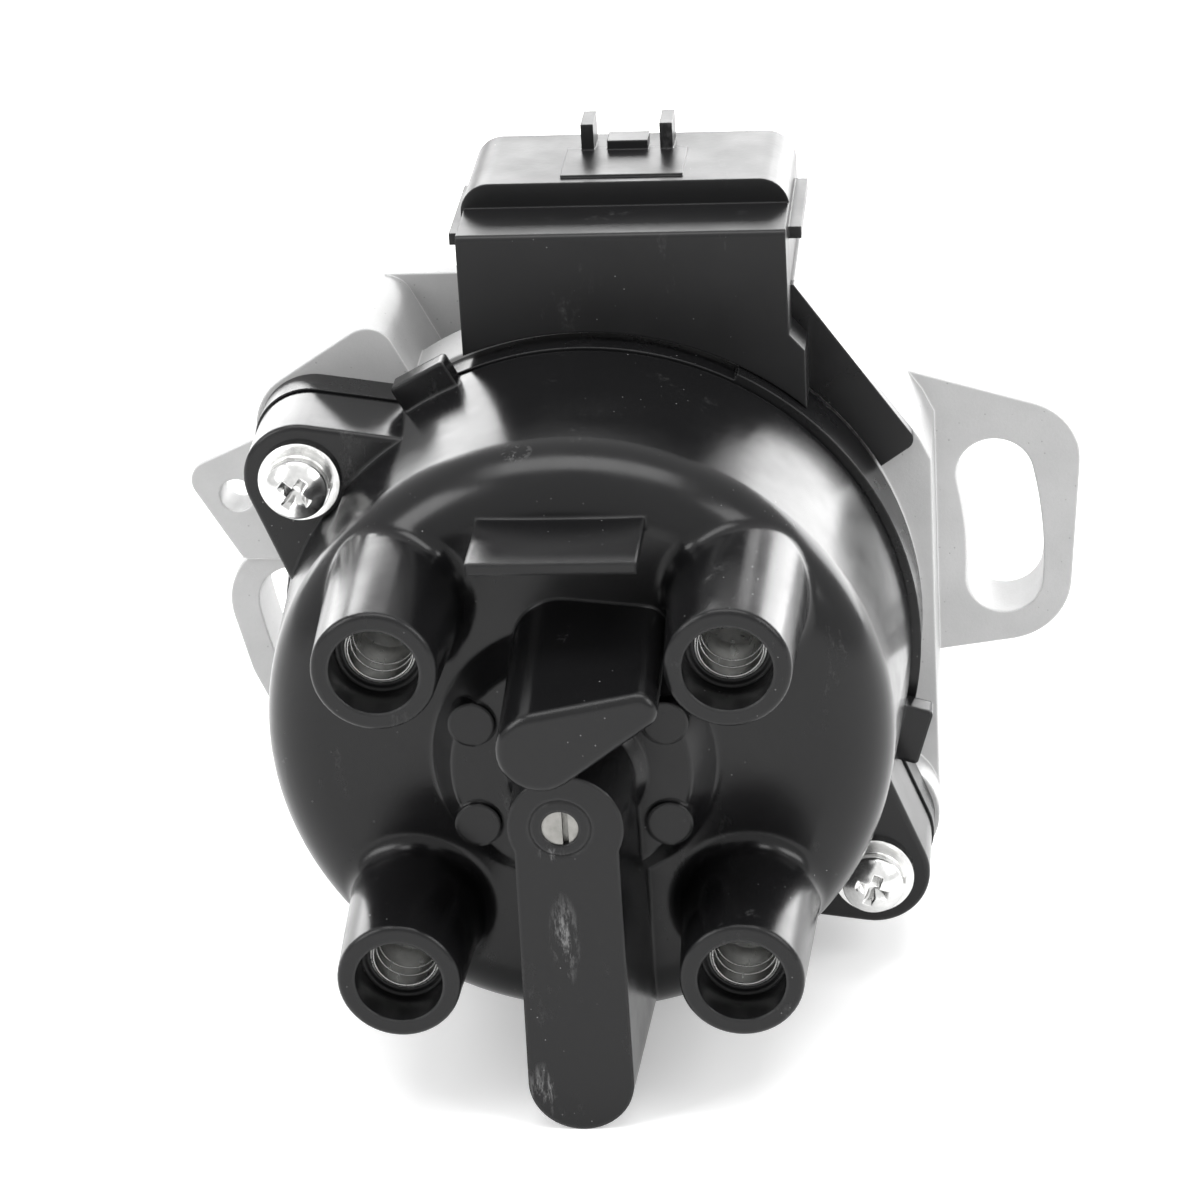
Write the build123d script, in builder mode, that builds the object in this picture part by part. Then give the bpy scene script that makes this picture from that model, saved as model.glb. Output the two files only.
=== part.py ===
"""Ignition distributor with a built-in coil and igniter, for a four-cylinder engine.

The shaft lies along Y. The cap and its towers face -Y, the spigot and the drive dog +Y,
and the connector stands on top, +Z. The origin is on the shaft's axis, in the mounting face.
Distances along the shaft are given forward of that face, towards the cap.
"""

from build123d import *
from math import cos, hypot, radians, sin, tan
import os

# Where the main joints lie, forward of the mounting face
flange_thickness = 11.0
module_back_at = 9.0
module_seat_at = 29.0
collar_at = 31.0
body_front_at = 35.0
ring_thickness = 5.5
ring_inset = 0.7
collar_slice = (-22.0, 62.0)
seal_thickness = 0.5

# Housing casting
barrel_radius = 46.0
barrel_wall = 4.5
neck_step = 7.0
neck_front_at = 19.0
barrel_back_at = 24.5
chamber_floor_at = 12.0
bay_half_width = 19.0
bay_overhang = 0.3
bay_wall = 2.0
bay_root = 18.0
module_rise = 4.3
module_left = -18.0
module_root = 20.0
slope_rise = 6.9
slope_angle = 34.8
slope_drop = 5.1
side_wall_rise = 2.0
side_wall_drop = 3.5
pocket_wall_thickness = 3.0
pocket_wall_rise = 0.7
ribbon_window_length = 3.0
ribbon_window_play = 1.0

# Mounting flanges; the discs that an outline is stretched round are (reach, angle, radius)
right_slot_reach = 19.0
right_slot_middle = 4.0
right_slot_sweep = 16.5
right_flange_rim = ((3.75, 13.7, 9.2), (-0.35, -4.2, 10.3))
right_flange_root = ((7.0, 42.4, 1.0), (-1.0, -26.6, 1.0))
left_slot_reach = 10.2
left_slot_middle = 198.0
left_slot_sweep = 20.0
left_flange_rim = ((0.0, 188.0, 10.0), (0.0, 198.0, 10.0), (0.0, 208.0, 10.0))
left_flange_root = ((-5.1, 135.0, 2.0), (-1.3, 238.0, 2.0))
slot_width = 11.4
bracket_lug_thickness = 6.2
bracket_lug_front_at = 11.8
bracket_lug_outline = ((22.2, 167.35, 3.2), (16.2, 177.9, 1.5), (8.8, 151.5, 2.0), (-4.9, 176.6, 2.0))
bracket_hole_radius = 2.6
bracket_hole_reach = 18.27
bracket_hole_angle = 168.93
upper_boss_web = ((13.6, 126.1, 4.0), (-5.1, 135.0, 6.0))
lower_boss_web = ((-5.1, -45.0, 10.0),)

# Spigot, bearings and seals
spigot_radius = 15.0
spigot_length = 21.0
spigot_chamfer = 1.2
ring_groove_at = -11.0
ring_section_radius = 1.2
ring_seat_gap = 0.02
ring_groove_width = 3.4
ring_groove_depth = 2.25
bearing_outer_radius = 14.0
bearing_width = 8.0
race_wall = 2.4
ball_radius = 2.4
ball_clearance = 0.1
ball_count = 8
cage_wall = 1.6
cage_width = 6.8
oil_seal_radius = 11.0
oil_seal_width = 7.0
seal_lip_clearance = 0.05
bush_radius = 9.0
bush_length = 12.0
running_clearance = 0.03
bore_clearance_radius = 7.2

# Shaft and drive
shaft_radius = 6.0
shaft_front_at = 57.0
flat_depth = 1.4
flat_back_at = 40.0
coupling_radius = 12.5
coupling_length = 7.4
dog_length = 6.0
dog_width = 7.0
dog_offset = 1.5
thrust_washer_thickness = 1.4
axial_play = 0.1
shaft_tail = 3.0
coupling_pin_radius = 2.0
spring_ring_wire = 0.65
retaining_ring_thickness = 1.0
retaining_ring_radius = 8.0
retaining_groove_depth = 0.6

# Cap moulding
rim_inset = 1.0
shoulder_inset = 2.0
crown_height = 35.5
shoulder_round = 9.0
cap_wall = 3.2
dome_draft = 0.3
crown_inset = 0.7
dome_round_inset = 2.0
hub_base_radius = 19.7
hub_top_radius = 16.3
hub_height = 41.0
tower_height = 22.0
tower_inset = 13.2
tower_mouth_radius = 8.4
tower_base_radius = 10.0
tower_base_height = 24.0
socket_radius = 6.0
socket_depth = 7.0
arm_width = 14.4
arm_overhang = 1.2
arm_offset = 0.7
arm_draft = 3.5
arm_back_height = 20.0
head_radius = 7.75
head_base_radius = 9.7
head_cone = (0.4, 1.6)
head_groove_radius = 4.1
head_groove_width = 0.4
boss_height = 61.5
boss_tilt_root = ((-0.6, 16.9, 6.9), (10.6, 19.2, 3.1))
boss_tilt_end = ((-1.8, 12.8, 5.7), (11.6, 18.8, 2.6))
button_radius = 3.2
button_height = 0.8
button_place = (13.1, 7.6)
tower_root_round = 2.2
mouth_round = 0.7
boss_round = 1.2
ear_round = 0.6
shelf_width = 22.6
shelf_inset = 7.8
shelf_root = 6.0
shelf_thickness = 1.7
shelf_front_height = 50.0
tab_width = 8.6
tab_overhang = 2.8
tab_round = 0.6
tab_length = 3.4
tab_angles = (118.0, -17.0)

# Ears and their screws
ear_reach = 4.0
ear_angles = (141.0, -38.5)
ear_radius = 8.0
ear_flare = 30.0
ear_height = 12.5
ear_root = 20.0
casting_ear_radius = 9.0
screw_radius = 2.5
screw_hole_clearance = 0.25
thread_clearance = 0.05
screw_head_radius = 5.0
screw_head_height = 3.6
screw_depth = 13.0
recess_width = 1.1
recess_length = 5.2
recess_depth = 1.9
flat_washer_radius = 5.75
flat_washer_thickness = 1.0
spring_washer_radius = 4.6
spring_washer_thickness = 1.3
spring_washer_gap = 1.0

# Tower terminals, brush and high-voltage conductor
cup_radius = 4.8
cup_wall = 0.5
cup_length = 12.0
terminal_stem_radius = 2.5
electrode_radius = 4.2
electrode_back_at = 60.0
electrode_front_at = 68.0
electrode_reach = 5.3
spark_gap = 0.8
brush_radius = 2.45
brush_length = 10.0
brush_gap = 0.3
brush_bore_radius = 2.6
brush_boss_radius = 6.0
brush_boss_length = 3.2
spring_space = 8.0
spring_wire_radius = 0.3
spring_turns = 5
stud_radius = 2.5
stud_slot_width = 0.8
stud_slot_depth = 1.0
stud_slot_offset = 0.7
stud_recess = 0.2
conductor_width = 7.0
conductor_thickness = 1.8
conductor_slot_root = 6.0

# Rotor, signal disc and sensor
rotor_back_at = 38.0
rotor_hub_radius = 11.0
rotor_plate_at = 56.0
rotor_front_at = 64.0
rotor_arm_width = 13.0
rotor_counter_radius = 17.0
contact_thickness = 1.5
contact_width = 9.0
rotor_screw_at = 46.0
rotor_screw_recess = 1.4
signal_disc_radius = 15.5
signal_disc_thickness = 1.0
signal_disc_at = 25.5
signal_hub_radius = 8.6
signal_hub_length = 7.0
window_count = 4
window_width = 3.0
sensor_width = 18.0
sensor_foot_width = 31.5
sensor_screw_x = 12.4
sensor_bottom = 9.0
sensor_clearance = 3.5
sensor_foot_drop = 6.5
sensor_foot_half_height = 4.0
sensor_front_at = 31.0
sensor_foot_thickness = 4.0
sensor_slot = 3.0
sensor_slot_depth = 9.0
small_screw_radius = 2.0
inner_screw_back_at = 5.0
small_head_radius = 3.4
small_head_height = 2.4
ribbon_width = 10.0
ribbon_thickness = 0.8
shield_thickness = 1.2
shield_lip = 1.3
shield_hole_radius = 8.0

# Ignition coil
coil_half_width = 16.5
coil_disc_gap = 4.0
coil_bay_gap = 2.3
coil_front_at = 31.0
core_back_at = 19.0
core_thickness = 6.0
core_limb = 3.6
coil_screw_x = 10.0
coil_tower_rise = 5.7
coil_tower_radius = 4.2
coil_tower_front_at = 56.0
coil_contact_radius = 1.5
coil_contact_front_at = 62.0
coil_contact_depth = 6.0

# Igniter case and connector
case_front_at = 38.0
case_left = -17.0
case_right = 29.0
case_step_x = 31.1
case_step_drops = (4.7, 7.1)
ledge_rise = 10.7
ledge_front_round = 0.8
shroud_front_at = 26.5
shroud_back_at = 6.0
shroud_rise = 14.3
shroud_round = 4.2
shroud_wall = 1.8
shroud_floor_at = 22.0
seat_gap = 0.3
arch_gap = 0.5
rail_height = 1.7
rail_width = 1.8
rail_drop = 2.0
rail_front_at = 31.0
rail_back_at = 11.0
prong_places = (-0.3, 11.0)
prong_width = 1.8
prong_height = 4.2
prong_front_at = 14.0
prong_length = 6.0
latch_place = 5.4
latch_width = 5.8
latch_height = 1.7
latch_length = 4.0
panel_margin = 3.0
panel_height = 0.35
pin_count = 6
pin_spacing = 6.2
pin_width = 2.2
pin_thickness = 0.8
pin_length = 12.0
case_screw_reach = 2.8
case_screw_angles = (60.0, 105.7)
case_screw_depth = 5.5
plate_end_drop = 4.9
plate_end_width = 7.0
plate_corner_round = 1.6
plate_gap = 0.7

# Radii and heights that follow the barrel
neck_radius = barrel_radius - neck_step
chamber_radius = barrel_radius - barrel_wall
neck_chamber_radius = neck_radius - barrel_wall
ring_radius = barrel_radius - ring_inset
rim_radius = barrel_radius - rim_inset
shoulder_radius = rim_radius - shoulder_inset
tab_reach = barrel_radius + tab_overhang
ear_circle = barrel_radius + ear_reach
tower_circle = barrel_radius - tower_inset
arm_reach = rim_radius + arm_overhang
shelf_top = shoulder_radius - shelf_inset
rotor_tip_radius = tower_circle - electrode_reach
right_slot_radius = neck_radius + right_slot_reach
left_slot_radius = neck_radius + left_slot_reach
side_wall_x = barrel_radius + side_wall_rise
slope_distance = barrel_radius + slope_rise
pocket_wall_top = barrel_radius + pocket_wall_rise
bay_bottom = barrel_radius + bay_overhang
coil_bottom = bay_bottom - bay_wall - coil_bay_gap
coil_top = signal_disc_radius + coil_disc_gap
coil_tower_drop = coil_bottom - coil_tower_rise
sensor_top = neck_chamber_radius - sensor_clearance
sensor_screw_z = sensor_top - sensor_foot_drop
module_top = barrel_radius + module_rise
ledge_top = module_top + ledge_rise
shroud_top = module_top + shroud_rise
rail_top = ledge_top - rail_drop

# Stations and places worked out from the sizes above
seal_back_at = body_front_at + ring_thickness
rim_at = seal_back_at + seal_thickness
crown_at = rim_at + crown_height
hub_at = rim_at + hub_height
mouth_at = crown_at + tower_height
ear_face_at = rim_at + ear_height
ball_circle = (shaft_radius + bearing_outer_radius) / 2
bearing_back_at = chamber_floor_at - bearing_width
oil_seal_back_at = bearing_back_at - oil_seal_width - 0.5
contact_front_at = rotor_front_at + contact_thickness
brush_back_at = contact_front_at + brush_gap
brush_front_at = brush_back_at + brush_length
stud_back_at = brush_front_at + spring_space
conductor_back_at = stud_back_at + 0.4
inner_crown_at = crown_at - cap_wall
coil_screw_z = -(coil_top + coil_bottom) / 2
coupling_back_at = -spigot_length - 2 * axial_play - thrust_washer_thickness - coupling_length
turning_plane = Plane(origin=(0, 0, 0), x_dir=(1, 0, 0), z_dir=(0, 0, -1))


def on_circle(radius, angle):
    return radius * cos(radians(angle)), radius * sin(radians(angle))


def about(circle, discs):
    """Discs given as (reach beyond the circle, angle, radius), turned into (x, z, radius)."""
    return [(*on_circle(circle + reach, angle), radius) for reach, angle, radius in discs]


def down_slope(distance, depth=0.0):
    """Point down the housing's sloping side from its nearest point to the shaft, and that deep in it."""
    x, z = on_circle(slope_distance - depth, slope_angle)
    return x + distance * sin(radians(slope_angle)), z - distance * cos(radians(slope_angle))


def slope_at(z):
    """X of the sloping side at height z."""
    return (slope_distance - z * sin(radians(slope_angle))) / cos(radians(slope_angle))


tower_places = [on_circle(tower_circle, angle) for angle in (45, 135, 225, 315)]
ear_places = [on_circle(ear_circle, angle) for angle in ear_angles]
case_screw_places = [on_circle(barrel_radius + case_screw_reach, angle) for angle in case_screw_angles]
bracket_hole_place = on_circle(neck_radius + bracket_hole_reach, bracket_hole_angle)


def station(forward):
    """Plane across the shaft, as seen from the cap: X to the right and Z up."""
    return Plane.XZ.offset(forward)


def sector(radius):
    """Slice of a disc over the base ring's collar."""
    start = on_circle(radius, collar_slice[0])
    end = on_circle(radius, collar_slice[1])
    with BuildLine() as outline:
        Line((0, 0), start)
        RadiusArc(start, end, -radius)
        Line(end, (0, 0))
    make_face(outline.edges())


def edges_about(piece, place, low, high, back, front):
    """Edges between two radii about an axis at place and between two stations."""
    found = []
    for edge in piece.edges():
        points = [edge @ (step / 8) for step in range(9)]
        spans = [hypot(point.X - place[0], point.Z - place[1]) for point in points]
        if low < min(spans) and max(spans) < high and all(back - 0.01 < -p.Y < front + 0.01 for p in points):
            found.append(edge)
    return found


def rod(radius, back, front, place=(0, 0), mode=Mode.ADD):
    """Round bar or hole between two stations."""
    with BuildSketch(station(back)) as section:
        with Locations(place):
            Circle(radius)
    extrude(section.sketch, amount=front - back, mode=mode)


def block(left, right, bottom, top, back, front, mode=Mode.ADD):
    """Rectangular bar or hole between two stations."""
    with BuildSketch(station(back)) as section:
        with Locations(((left + right) / 2, (bottom + top) / 2)):
            Rectangle(right - left, top - bottom)
    extrude(section.sketch, amount=front - back, mode=mode)


def hull(back, front, discs, mode=Mode.ADD):
    """Bar whose outline is stretched round discs, each (x, z, radius)."""
    with BuildSketch(station(back)) as section:
        for x, z, radius in discs:
            with Locations((x, z)):
                Circle(radius)
        make_hull()
    extrude(section.sketch, amount=front - back, mode=mode)


def turn(points, place=(0, 0), mode=Mode.ADD):
    """Turned shape about an axis along the shaft; points are (radius, forward)."""
    x, z = place
    with BuildSketch(Plane(origin=(x, 0, z), x_dir=(1, 0, 0), z_dir=(0, 0, -1))) as section:
        with BuildLine():
            Polyline(*points, close=True)
        make_face()
    revolve(section.sketch, axis=Axis((x, 0, z), (0, 1, 0)), mode=mode)


def tube(outer, inner, back, front, place=(0, 0)):
    rod(outer, back, front, place)
    rod(inner, back, front, place, Mode.SUBTRACT)


def ear_outline(angle, radius):
    """Teardrop ear: a round end on two flanks that widen towards the shaft."""
    reach = ear_circle - ear_root
    half = radius / cos(radians(ear_flare)) + reach * tan(radians(ear_flare))
    tip = (ear_circle + radius * sin(radians(ear_flare)), radius * cos(radians(ear_flare)))
    with Locations(Rotation(0, 0, angle)):
        with Locations((ear_circle, 0)):
            Circle(radius)
        Polygon((ear_root, half), (ear_root, -half), (tip[0], -tip[1]), tip, align=None)


def ear(angle, radius, back, front):
    with BuildSketch(station(back)) as section:
        ear_outline(angle, radius)
    extrude(section.sketch, amount=front - back)


def pan_screw(place, seat, depth, radius, head_radius, head_height, facing=1):
    """Pan-head screw whose head stands forward (facing 1) or backward (facing -1) of its seat."""
    edge = 0.45 * head_height
    points = [
        (0, seat - facing * depth),
        (radius - 0.4, seat - facing * depth),
        (radius, seat - facing * (depth - 0.8)),
        (radius, seat),
        (head_radius, seat),
        (head_radius, seat + facing * edge),
        (head_radius * 0.8, seat + facing * head_height * 0.9),
        (head_radius * 0.45, seat + facing * head_height),
        (0, seat + facing * head_height),
    ]
    turn(points, place)
    top = seat + facing * head_height
    low, high = sorted((top, top - facing * recess_depth * head_radius / screw_head_radius))
    span = recess_length * head_radius / screw_head_radius / 2
    slot = recess_width * head_radius / screw_head_radius / 2
    x, z = place
    block(x - span, x + span, z - slot, z + slot, low, high, Mode.SUBTRACT)
    block(x - slot, x + slot, z - span, z + span, low, high, Mode.SUBTRACT)


os.makedirs("parts", exist_ok=True)


def save(piece, name):
    piece.part.label = name
    export_step(piece.part, "parts/" + name + ".step")


# Housing: cast aluminium, with the coil bay below, the module seat on top and two slotted flanges
right_slot = SlotArc(
    CenterArc((0, 0), right_slot_radius, right_slot_middle - right_slot_sweep / 2, right_slot_sweep), slot_width
)
left_slot = SlotArc(
    CenterArc((0, 0), left_slot_radius, left_slot_middle - left_slot_sweep / 2, left_slot_sweep), slot_width
)

with BuildPart() as housing:
    turn([
        (0, 0), (neck_radius, 0), (neck_radius, neck_front_at),
        (barrel_radius, barrel_back_at), (barrel_radius, body_front_at), (0, body_front_at),
    ])
    # Flanges, each following its slot, and the bracket lug above the left one
    hull(0, flange_thickness, about(right_slot_radius, right_flange_rim) + about(neck_radius, right_flange_root))
    hull(0, flange_thickness, about(left_slot_radius, left_flange_rim) + about(neck_radius, left_flange_root))
    hull(bracket_lug_front_at - bracket_lug_thickness, bracket_lug_front_at, about(neck_radius, bracket_lug_outline))
    # Module seat with its sloping side, and the straight side wall below it
    upper_ear, lower_ear = ear_places
    foot = down_slope(slope_drop)
    with BuildSketch(station(module_back_at)):
        Polygon(
            (module_left, module_root), (module_left, module_top), (slope_at(module_top), module_top), foot,
            (side_wall_x, foot[1] - side_wall_drop), (side_wall_x, lower_ear[1]),
            (neck_chamber_radius, lower_ear[1]), (module_root, 0.0), align=None,
        )
    extrude(amount=module_seat_at - module_back_at)
    # Ear bosses behind the cap's ears
    upper_web = about(neck_radius, upper_boss_web)
    hull(module_back_at, body_front_at, [(*upper_ear, casting_ear_radius), *upper_web])
    hull(module_back_at, body_front_at, [(*lower_ear, casting_ear_radius), *about(neck_radius, lower_boss_web)])
    # Wall behind the pocket beside the module seat
    block(upper_web[0][0], module_left, neck_chamber_radius, pocket_wall_top,
          flange_thickness, flange_thickness + pocket_wall_thickness)
    # Coil bay
    block(-bay_half_width, bay_half_width, -bay_bottom, -bay_root, 0, body_front_at)
    # Spigot
    rod(spigot_radius, -spigot_length, 0)
    chamfer(edges().group_by(Axis.Y)[-1], spigot_chamfer)
    turn([
        (spigot_radius + 1.0, ring_groove_at), (spigot_radius - ring_groove_depth, ring_groove_at),
        (spigot_radius - ring_groove_depth, ring_groove_at - ring_groove_width),
        (spigot_radius + 1.0, ring_groove_at - ring_groove_width),
    ], mode=Mode.SUBTRACT)
    # Chamber for the sensor and the signal disc
    turn([
        (0, chamber_floor_at), (neck_chamber_radius, chamber_floor_at), (neck_chamber_radius, neck_front_at),
        (chamber_radius, barrel_back_at), (chamber_radius, body_front_at - shield_thickness),
        (chamber_radius + shield_lip, body_front_at - shield_thickness),
        (chamber_radius + shield_lip, body_front_at), (0, body_front_at),
    ], mode=Mode.SUBTRACT)
    block(-bay_half_width + bay_wall, bay_half_width - bay_wall, -bay_bottom + bay_wall, -bay_root,
          chamber_floor_at, body_front_at, Mode.SUBTRACT)
    # Stepped bore: ball bearing, oil seal, clearance and bush
    rod(bearing_outer_radius, bearing_back_at, chamber_floor_at, mode=Mode.SUBTRACT)
    rod(oil_seal_radius, oil_seal_back_at, bearing_back_at, mode=Mode.SUBTRACT)
    rod(bore_clearance_radius, -spigot_length, oil_seal_back_at, mode=Mode.SUBTRACT)
    rod(bush_radius, -spigot_length, -spigot_length + bush_length, mode=Mode.SUBTRACT)
    # Slots and the bracket hole
    with BuildSketch(station(0)):
        add(right_slot)
        add(left_slot)
    extrude(amount=flange_thickness, mode=Mode.SUBTRACT)
    rod(bracket_hole_radius, 0, bracket_lug_front_at, bracket_hole_place, Mode.SUBTRACT)
    # Notch for the base ring's collar, and everything ahead of the module seat outside the barrel
    with BuildSketch(station(collar_at)):
        sector(right_slot_radius)
    extrude(amount=body_front_at - collar_at, mode=Mode.SUBTRACT)
    # Screw holes
    for place in ear_places:
        rod(screw_radius, body_front_at - screw_depth, body_front_at, place, Mode.SUBTRACT)
    for place in case_screw_places:
        rod(small_screw_radius + 0.2, module_back_at, module_seat_at, place, Mode.SUBTRACT)
    for side in (-1, 1):
        for place in ((side * sensor_screw_x, sensor_screw_z), (side * coil_screw_x, coil_screw_z)):
            rod(small_screw_radius, inner_screw_back_at - 1.0, chamber_floor_at, place, Mode.SUBTRACT)
    # Window for the sensor's ribbon
    half_window = ribbon_width / 2 + ribbon_window_play
    block(-half_window, half_window, neck_chamber_radius, module_top - ribbon_window_play,
          module_seat_at - ribbon_window_length, module_seat_at, Mode.SUBTRACT)
save(housing, "housing")

# Base ring: plastic insulator between the housing and the cap, with a collar to the right
with BuildPart() as base_ring:
    rod(ring_radius, body_front_at, seal_back_at)
    for angle in ear_angles:
        ear(angle, ear_radius + 0.3, body_front_at, seal_back_at)
    with BuildSketch(station(collar_at)):
        sector(barrel_radius + 0.3)
    extrude(amount=seal_back_at - collar_at)
    rod(chamber_radius, collar_at, seal_back_at, mode=Mode.SUBTRACT)
    for place in ear_places:
        rod(screw_radius + screw_hole_clearance, body_front_at, seal_back_at, place, Mode.SUBTRACT)
    rod(chamber_radius + shield_lip, collar_at, body_front_at, mode=Mode.SUBTRACT)
save(base_ring, "base_ring")

# Thin seal in the parting line, a little inside the cap's outline
with BuildPart() as cap_seal:
    rod(rim_radius - 0.6, seal_back_at, rim_at)
    for angle in ear_angles:
        ear(angle, ear_radius - 0.6, seal_back_at, rim_at)
    rod(chamber_radius, seal_back_at, rim_at, mode=Mode.SUBTRACT)
    for place in ear_places:
        rod(screw_radius + screw_hole_clearance, seal_back_at, rim_at, place, Mode.SUBTRACT)
save(cap_seal, "cap_seal")

# Cap: dome with four towers, the high-voltage arm, the oblong boss, the shelf and two ears
cup_seat_at = mouth_at - socket_depth
cup_floor_at = cup_seat_at - cup_length
arm_end = arm_reach - arm_width / 2
arm_back_at = rim_at + arm_back_height
arm_back_radius = arm_width / 2 + (mouth_at - arm_back_at) * tan(radians(arm_draft))
conductor_front_at = conductor_back_at + conductor_thickness

with BuildPart() as cap:
    with BuildSketch(turning_plane):
        with BuildLine():
            FilletPolyline(
                (rim_radius, rim_at), (shoulder_radius, crown_at), (hub_base_radius, crown_at + 0.6),
                (hub_top_radius, hub_at), (0, hub_at), radius=[shoulder_round, 1.0, 0.6],
            )
            Polyline((0, hub_at), (0, rim_at), (rim_radius, rim_at))
        make_face()
    revolve(axis=Axis.Y)
    for angle in ear_angles:
        ear(angle, ear_radius, rim_at, ear_face_at)
    # Tabs over the parting line
    for angle in tab_angles:
        with BuildSketch(station(rim_at)):
            with Locations(Rotation(0, 0, angle)):
                with Locations(((shoulder_radius + tab_reach) / 2, 0)):
                    RectangleRounded(tab_reach - shoulder_radius, tab_width, tab_round)
        extrude(amount=tab_length)
    # Towers, drafted from base to mouth
    tower_base_at = rim_at + tower_base_height
    for x, z in tower_places:
        turn([
            (0, tower_base_at), (tower_base_radius, tower_base_at), (tower_mouth_radius, mouth_at), (0, mouth_at),
        ], (x, z))
    # Arm: drafted bar from the centre to beyond the skirt
    with BuildSketch(station(mouth_at)):
        for z, radius in ((0, arm_width / 2 - 0.3), (-arm_end, arm_width / 2)):
            with Locations((arm_offset, z)):
                Circle(radius)
        make_hull()
    with BuildSketch(station(arm_back_at)):
        for z in (0, -(arm_reach - arm_back_radius)):
            with Locations((arm_offset, z)):
                Circle(arm_back_radius)
        make_hull()
    loft()
    turn([
        (0, crown_at), (head_base_radius, crown_at), (head_base_radius, hub_at),
        (head_radius + head_cone[0], hub_at + head_cone[1]), (head_radius, mouth_at), (0, mouth_at),
    ], (arm_offset, 0))
    # Oblong boss above the arm's head
    with BuildSketch(station(rim_at + boss_height)):
        for x, z, radius in boss_tilt_end:
            with Locations((x, z)):
                Circle(radius)
        make_hull()
    with BuildSketch(station(crown_at - 1.0)):
        for x, z, radius in boss_tilt_root:
            with Locations((x, z)):
                Circle(radius)
        make_hull()
    loft()
    # Rounded roots and edges
    for place in tower_places:
        fillet(edges_about(cap, place, tower_mouth_radius, tower_base_radius, tower_base_at + 1.0, crown_at + 4.0),
               tower_root_round)
        fillet(edges_about(cap, place, 0, tower_mouth_radius + 0.1, mouth_at, mouth_at), mouth_round)
    boss_front_at = rim_at + boss_height
    fillet(edges_about(cap, boss_tilt_end[0][:2], 0, shoulder_radius, boss_front_at, boss_front_at), boss_round)
    for place in ear_places:
        top = edges_about(cap, place, 0, 2.5 * ear_radius, ear_face_at, ear_face_at)
        fillet([edge for edge in top if edge.geom_type == GeomType.LINE or edge.radius < 1.5 * ear_radius], ear_round)
    # Buttons round the hub
    for x, z in ((1, 1), (-1, 1), (-1, -1), (1, -1)):
        rod(button_radius, crown_at - 0.5, hub_at + button_height, (x * button_place[0], z * button_place[1]))
    # Shelf above the hub
    block(-shelf_width / 2, shelf_width / 2, shelf_top - shelf_thickness, shelf_top,
          crown_at - shelf_root, rim_at + shelf_front_height)
    # Inside of the dome, with the boss that guides the brush
    with BuildSketch(turning_plane):
        with BuildLine():
            FilletPolyline(
                (chamber_radius + dome_draft, rim_at), (chamber_radius - crown_inset, inner_crown_at),
                (0, inner_crown_at), radius=[shoulder_round - dome_round_inset],
            )
            Polyline((0, inner_crown_at), (0, rim_at), (chamber_radius + dome_draft, rim_at))
        make_face()
    revolve(axis=Axis.Y, mode=Mode.SUBTRACT)
    rod(brush_boss_radius, inner_crown_at - brush_boss_length, inner_crown_at + 1.0)
    rod(brush_bore_radius, inner_crown_at - brush_boss_length, stud_back_at, mode=Mode.SUBTRACT)
    rod(stud_radius, stud_back_at, mouth_at, mode=Mode.SUBTRACT)
    turn([
        (head_groove_radius - head_groove_width / 2, mouth_at), (head_groove_radius + head_groove_width / 2, mouth_at),
        (head_groove_radius, mouth_at - head_groove_width),
    ], mode=Mode.SUBTRACT)
    # Sockets, and the holes that the terminals are moulded into
    for place in tower_places:
        rod(socket_radius, cup_seat_at, mouth_at, place, Mode.SUBTRACT)
        rod(cup_radius, cup_floor_at, cup_seat_at, place, Mode.SUBTRACT)
        rod(terminal_stem_radius, electrode_front_at, cup_floor_at, place, Mode.SUBTRACT)
    # Slot for the conductor, along the arm and down to the coil's contact
    half = conductor_width / 2
    block(-half, half, -coil_tower_drop - conductor_thickness / 2, half, conductor_back_at, conductor_front_at,
          Mode.SUBTRACT)
    block(-half, half, -coil_tower_drop - conductor_thickness / 2, -coil_tower_drop + conductor_thickness / 2,
          inner_crown_at - conductor_slot_root, conductor_front_at, Mode.SUBTRACT)
    for place in ear_places:
        rod(screw_radius + screw_hole_clearance, rim_at, ear_face_at, place, Mode.SUBTRACT)
        rod(flat_washer_radius + 0.6, ear_face_at, ear_face_at + 8.0, place, Mode.SUBTRACT)
save(cap, "cap")

# Terminals: cup in the tower, stem through the crown, electrode beside the rotor's path
for number, place in enumerate(tower_places, 1):
    with BuildPart() as terminal:
        turn([
            (0, electrode_back_at), (electrode_radius, electrode_back_at), (electrode_radius, electrode_front_at),
            (terminal_stem_radius, electrode_front_at), (terminal_stem_radius, cup_floor_at),
            (cup_radius, cup_floor_at), (cup_radius, cup_seat_at), (cup_radius - cup_wall, cup_seat_at),
            (cup_radius - cup_wall, cup_floor_at + 2.2), (cup_radius - 2.2, cup_floor_at + 0.6),
            (0, cup_floor_at + 0.6),
        ], place)
        rod(rotor_tip_radius + spark_gap, electrode_back_at, electrode_front_at, mode=Mode.SUBTRACT)
    save(terminal, f"tower_terminal_{number}")

# Conductor from the coil's contact to the centre, with the slotted stud that closes the brush's bore
with BuildPart() as arm_conductor:
    block(-half, half, -coil_tower_drop - conductor_thickness / 2, half, conductor_back_at, conductor_front_at)
    block(-half, half, -coil_tower_drop - conductor_thickness / 2, -coil_tower_drop + conductor_thickness / 2,
          coil_contact_front_at, conductor_front_at)
    rod(stud_radius, conductor_back_at, conductor_front_at, mode=Mode.SUBTRACT)
save(arm_conductor, "arm_conductor")

with BuildPart() as centre_stud:
    rod(stud_radius, stud_back_at, mouth_at - stud_recess)
    block(stud_slot_offset - stud_slot_width / 2, stud_slot_offset + stud_slot_width / 2, -stud_radius, stud_radius,
          mouth_at - stud_recess - stud_slot_depth, mouth_at - stud_recess, Mode.SUBTRACT)
save(centre_stud, "centre_stud")

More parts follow.
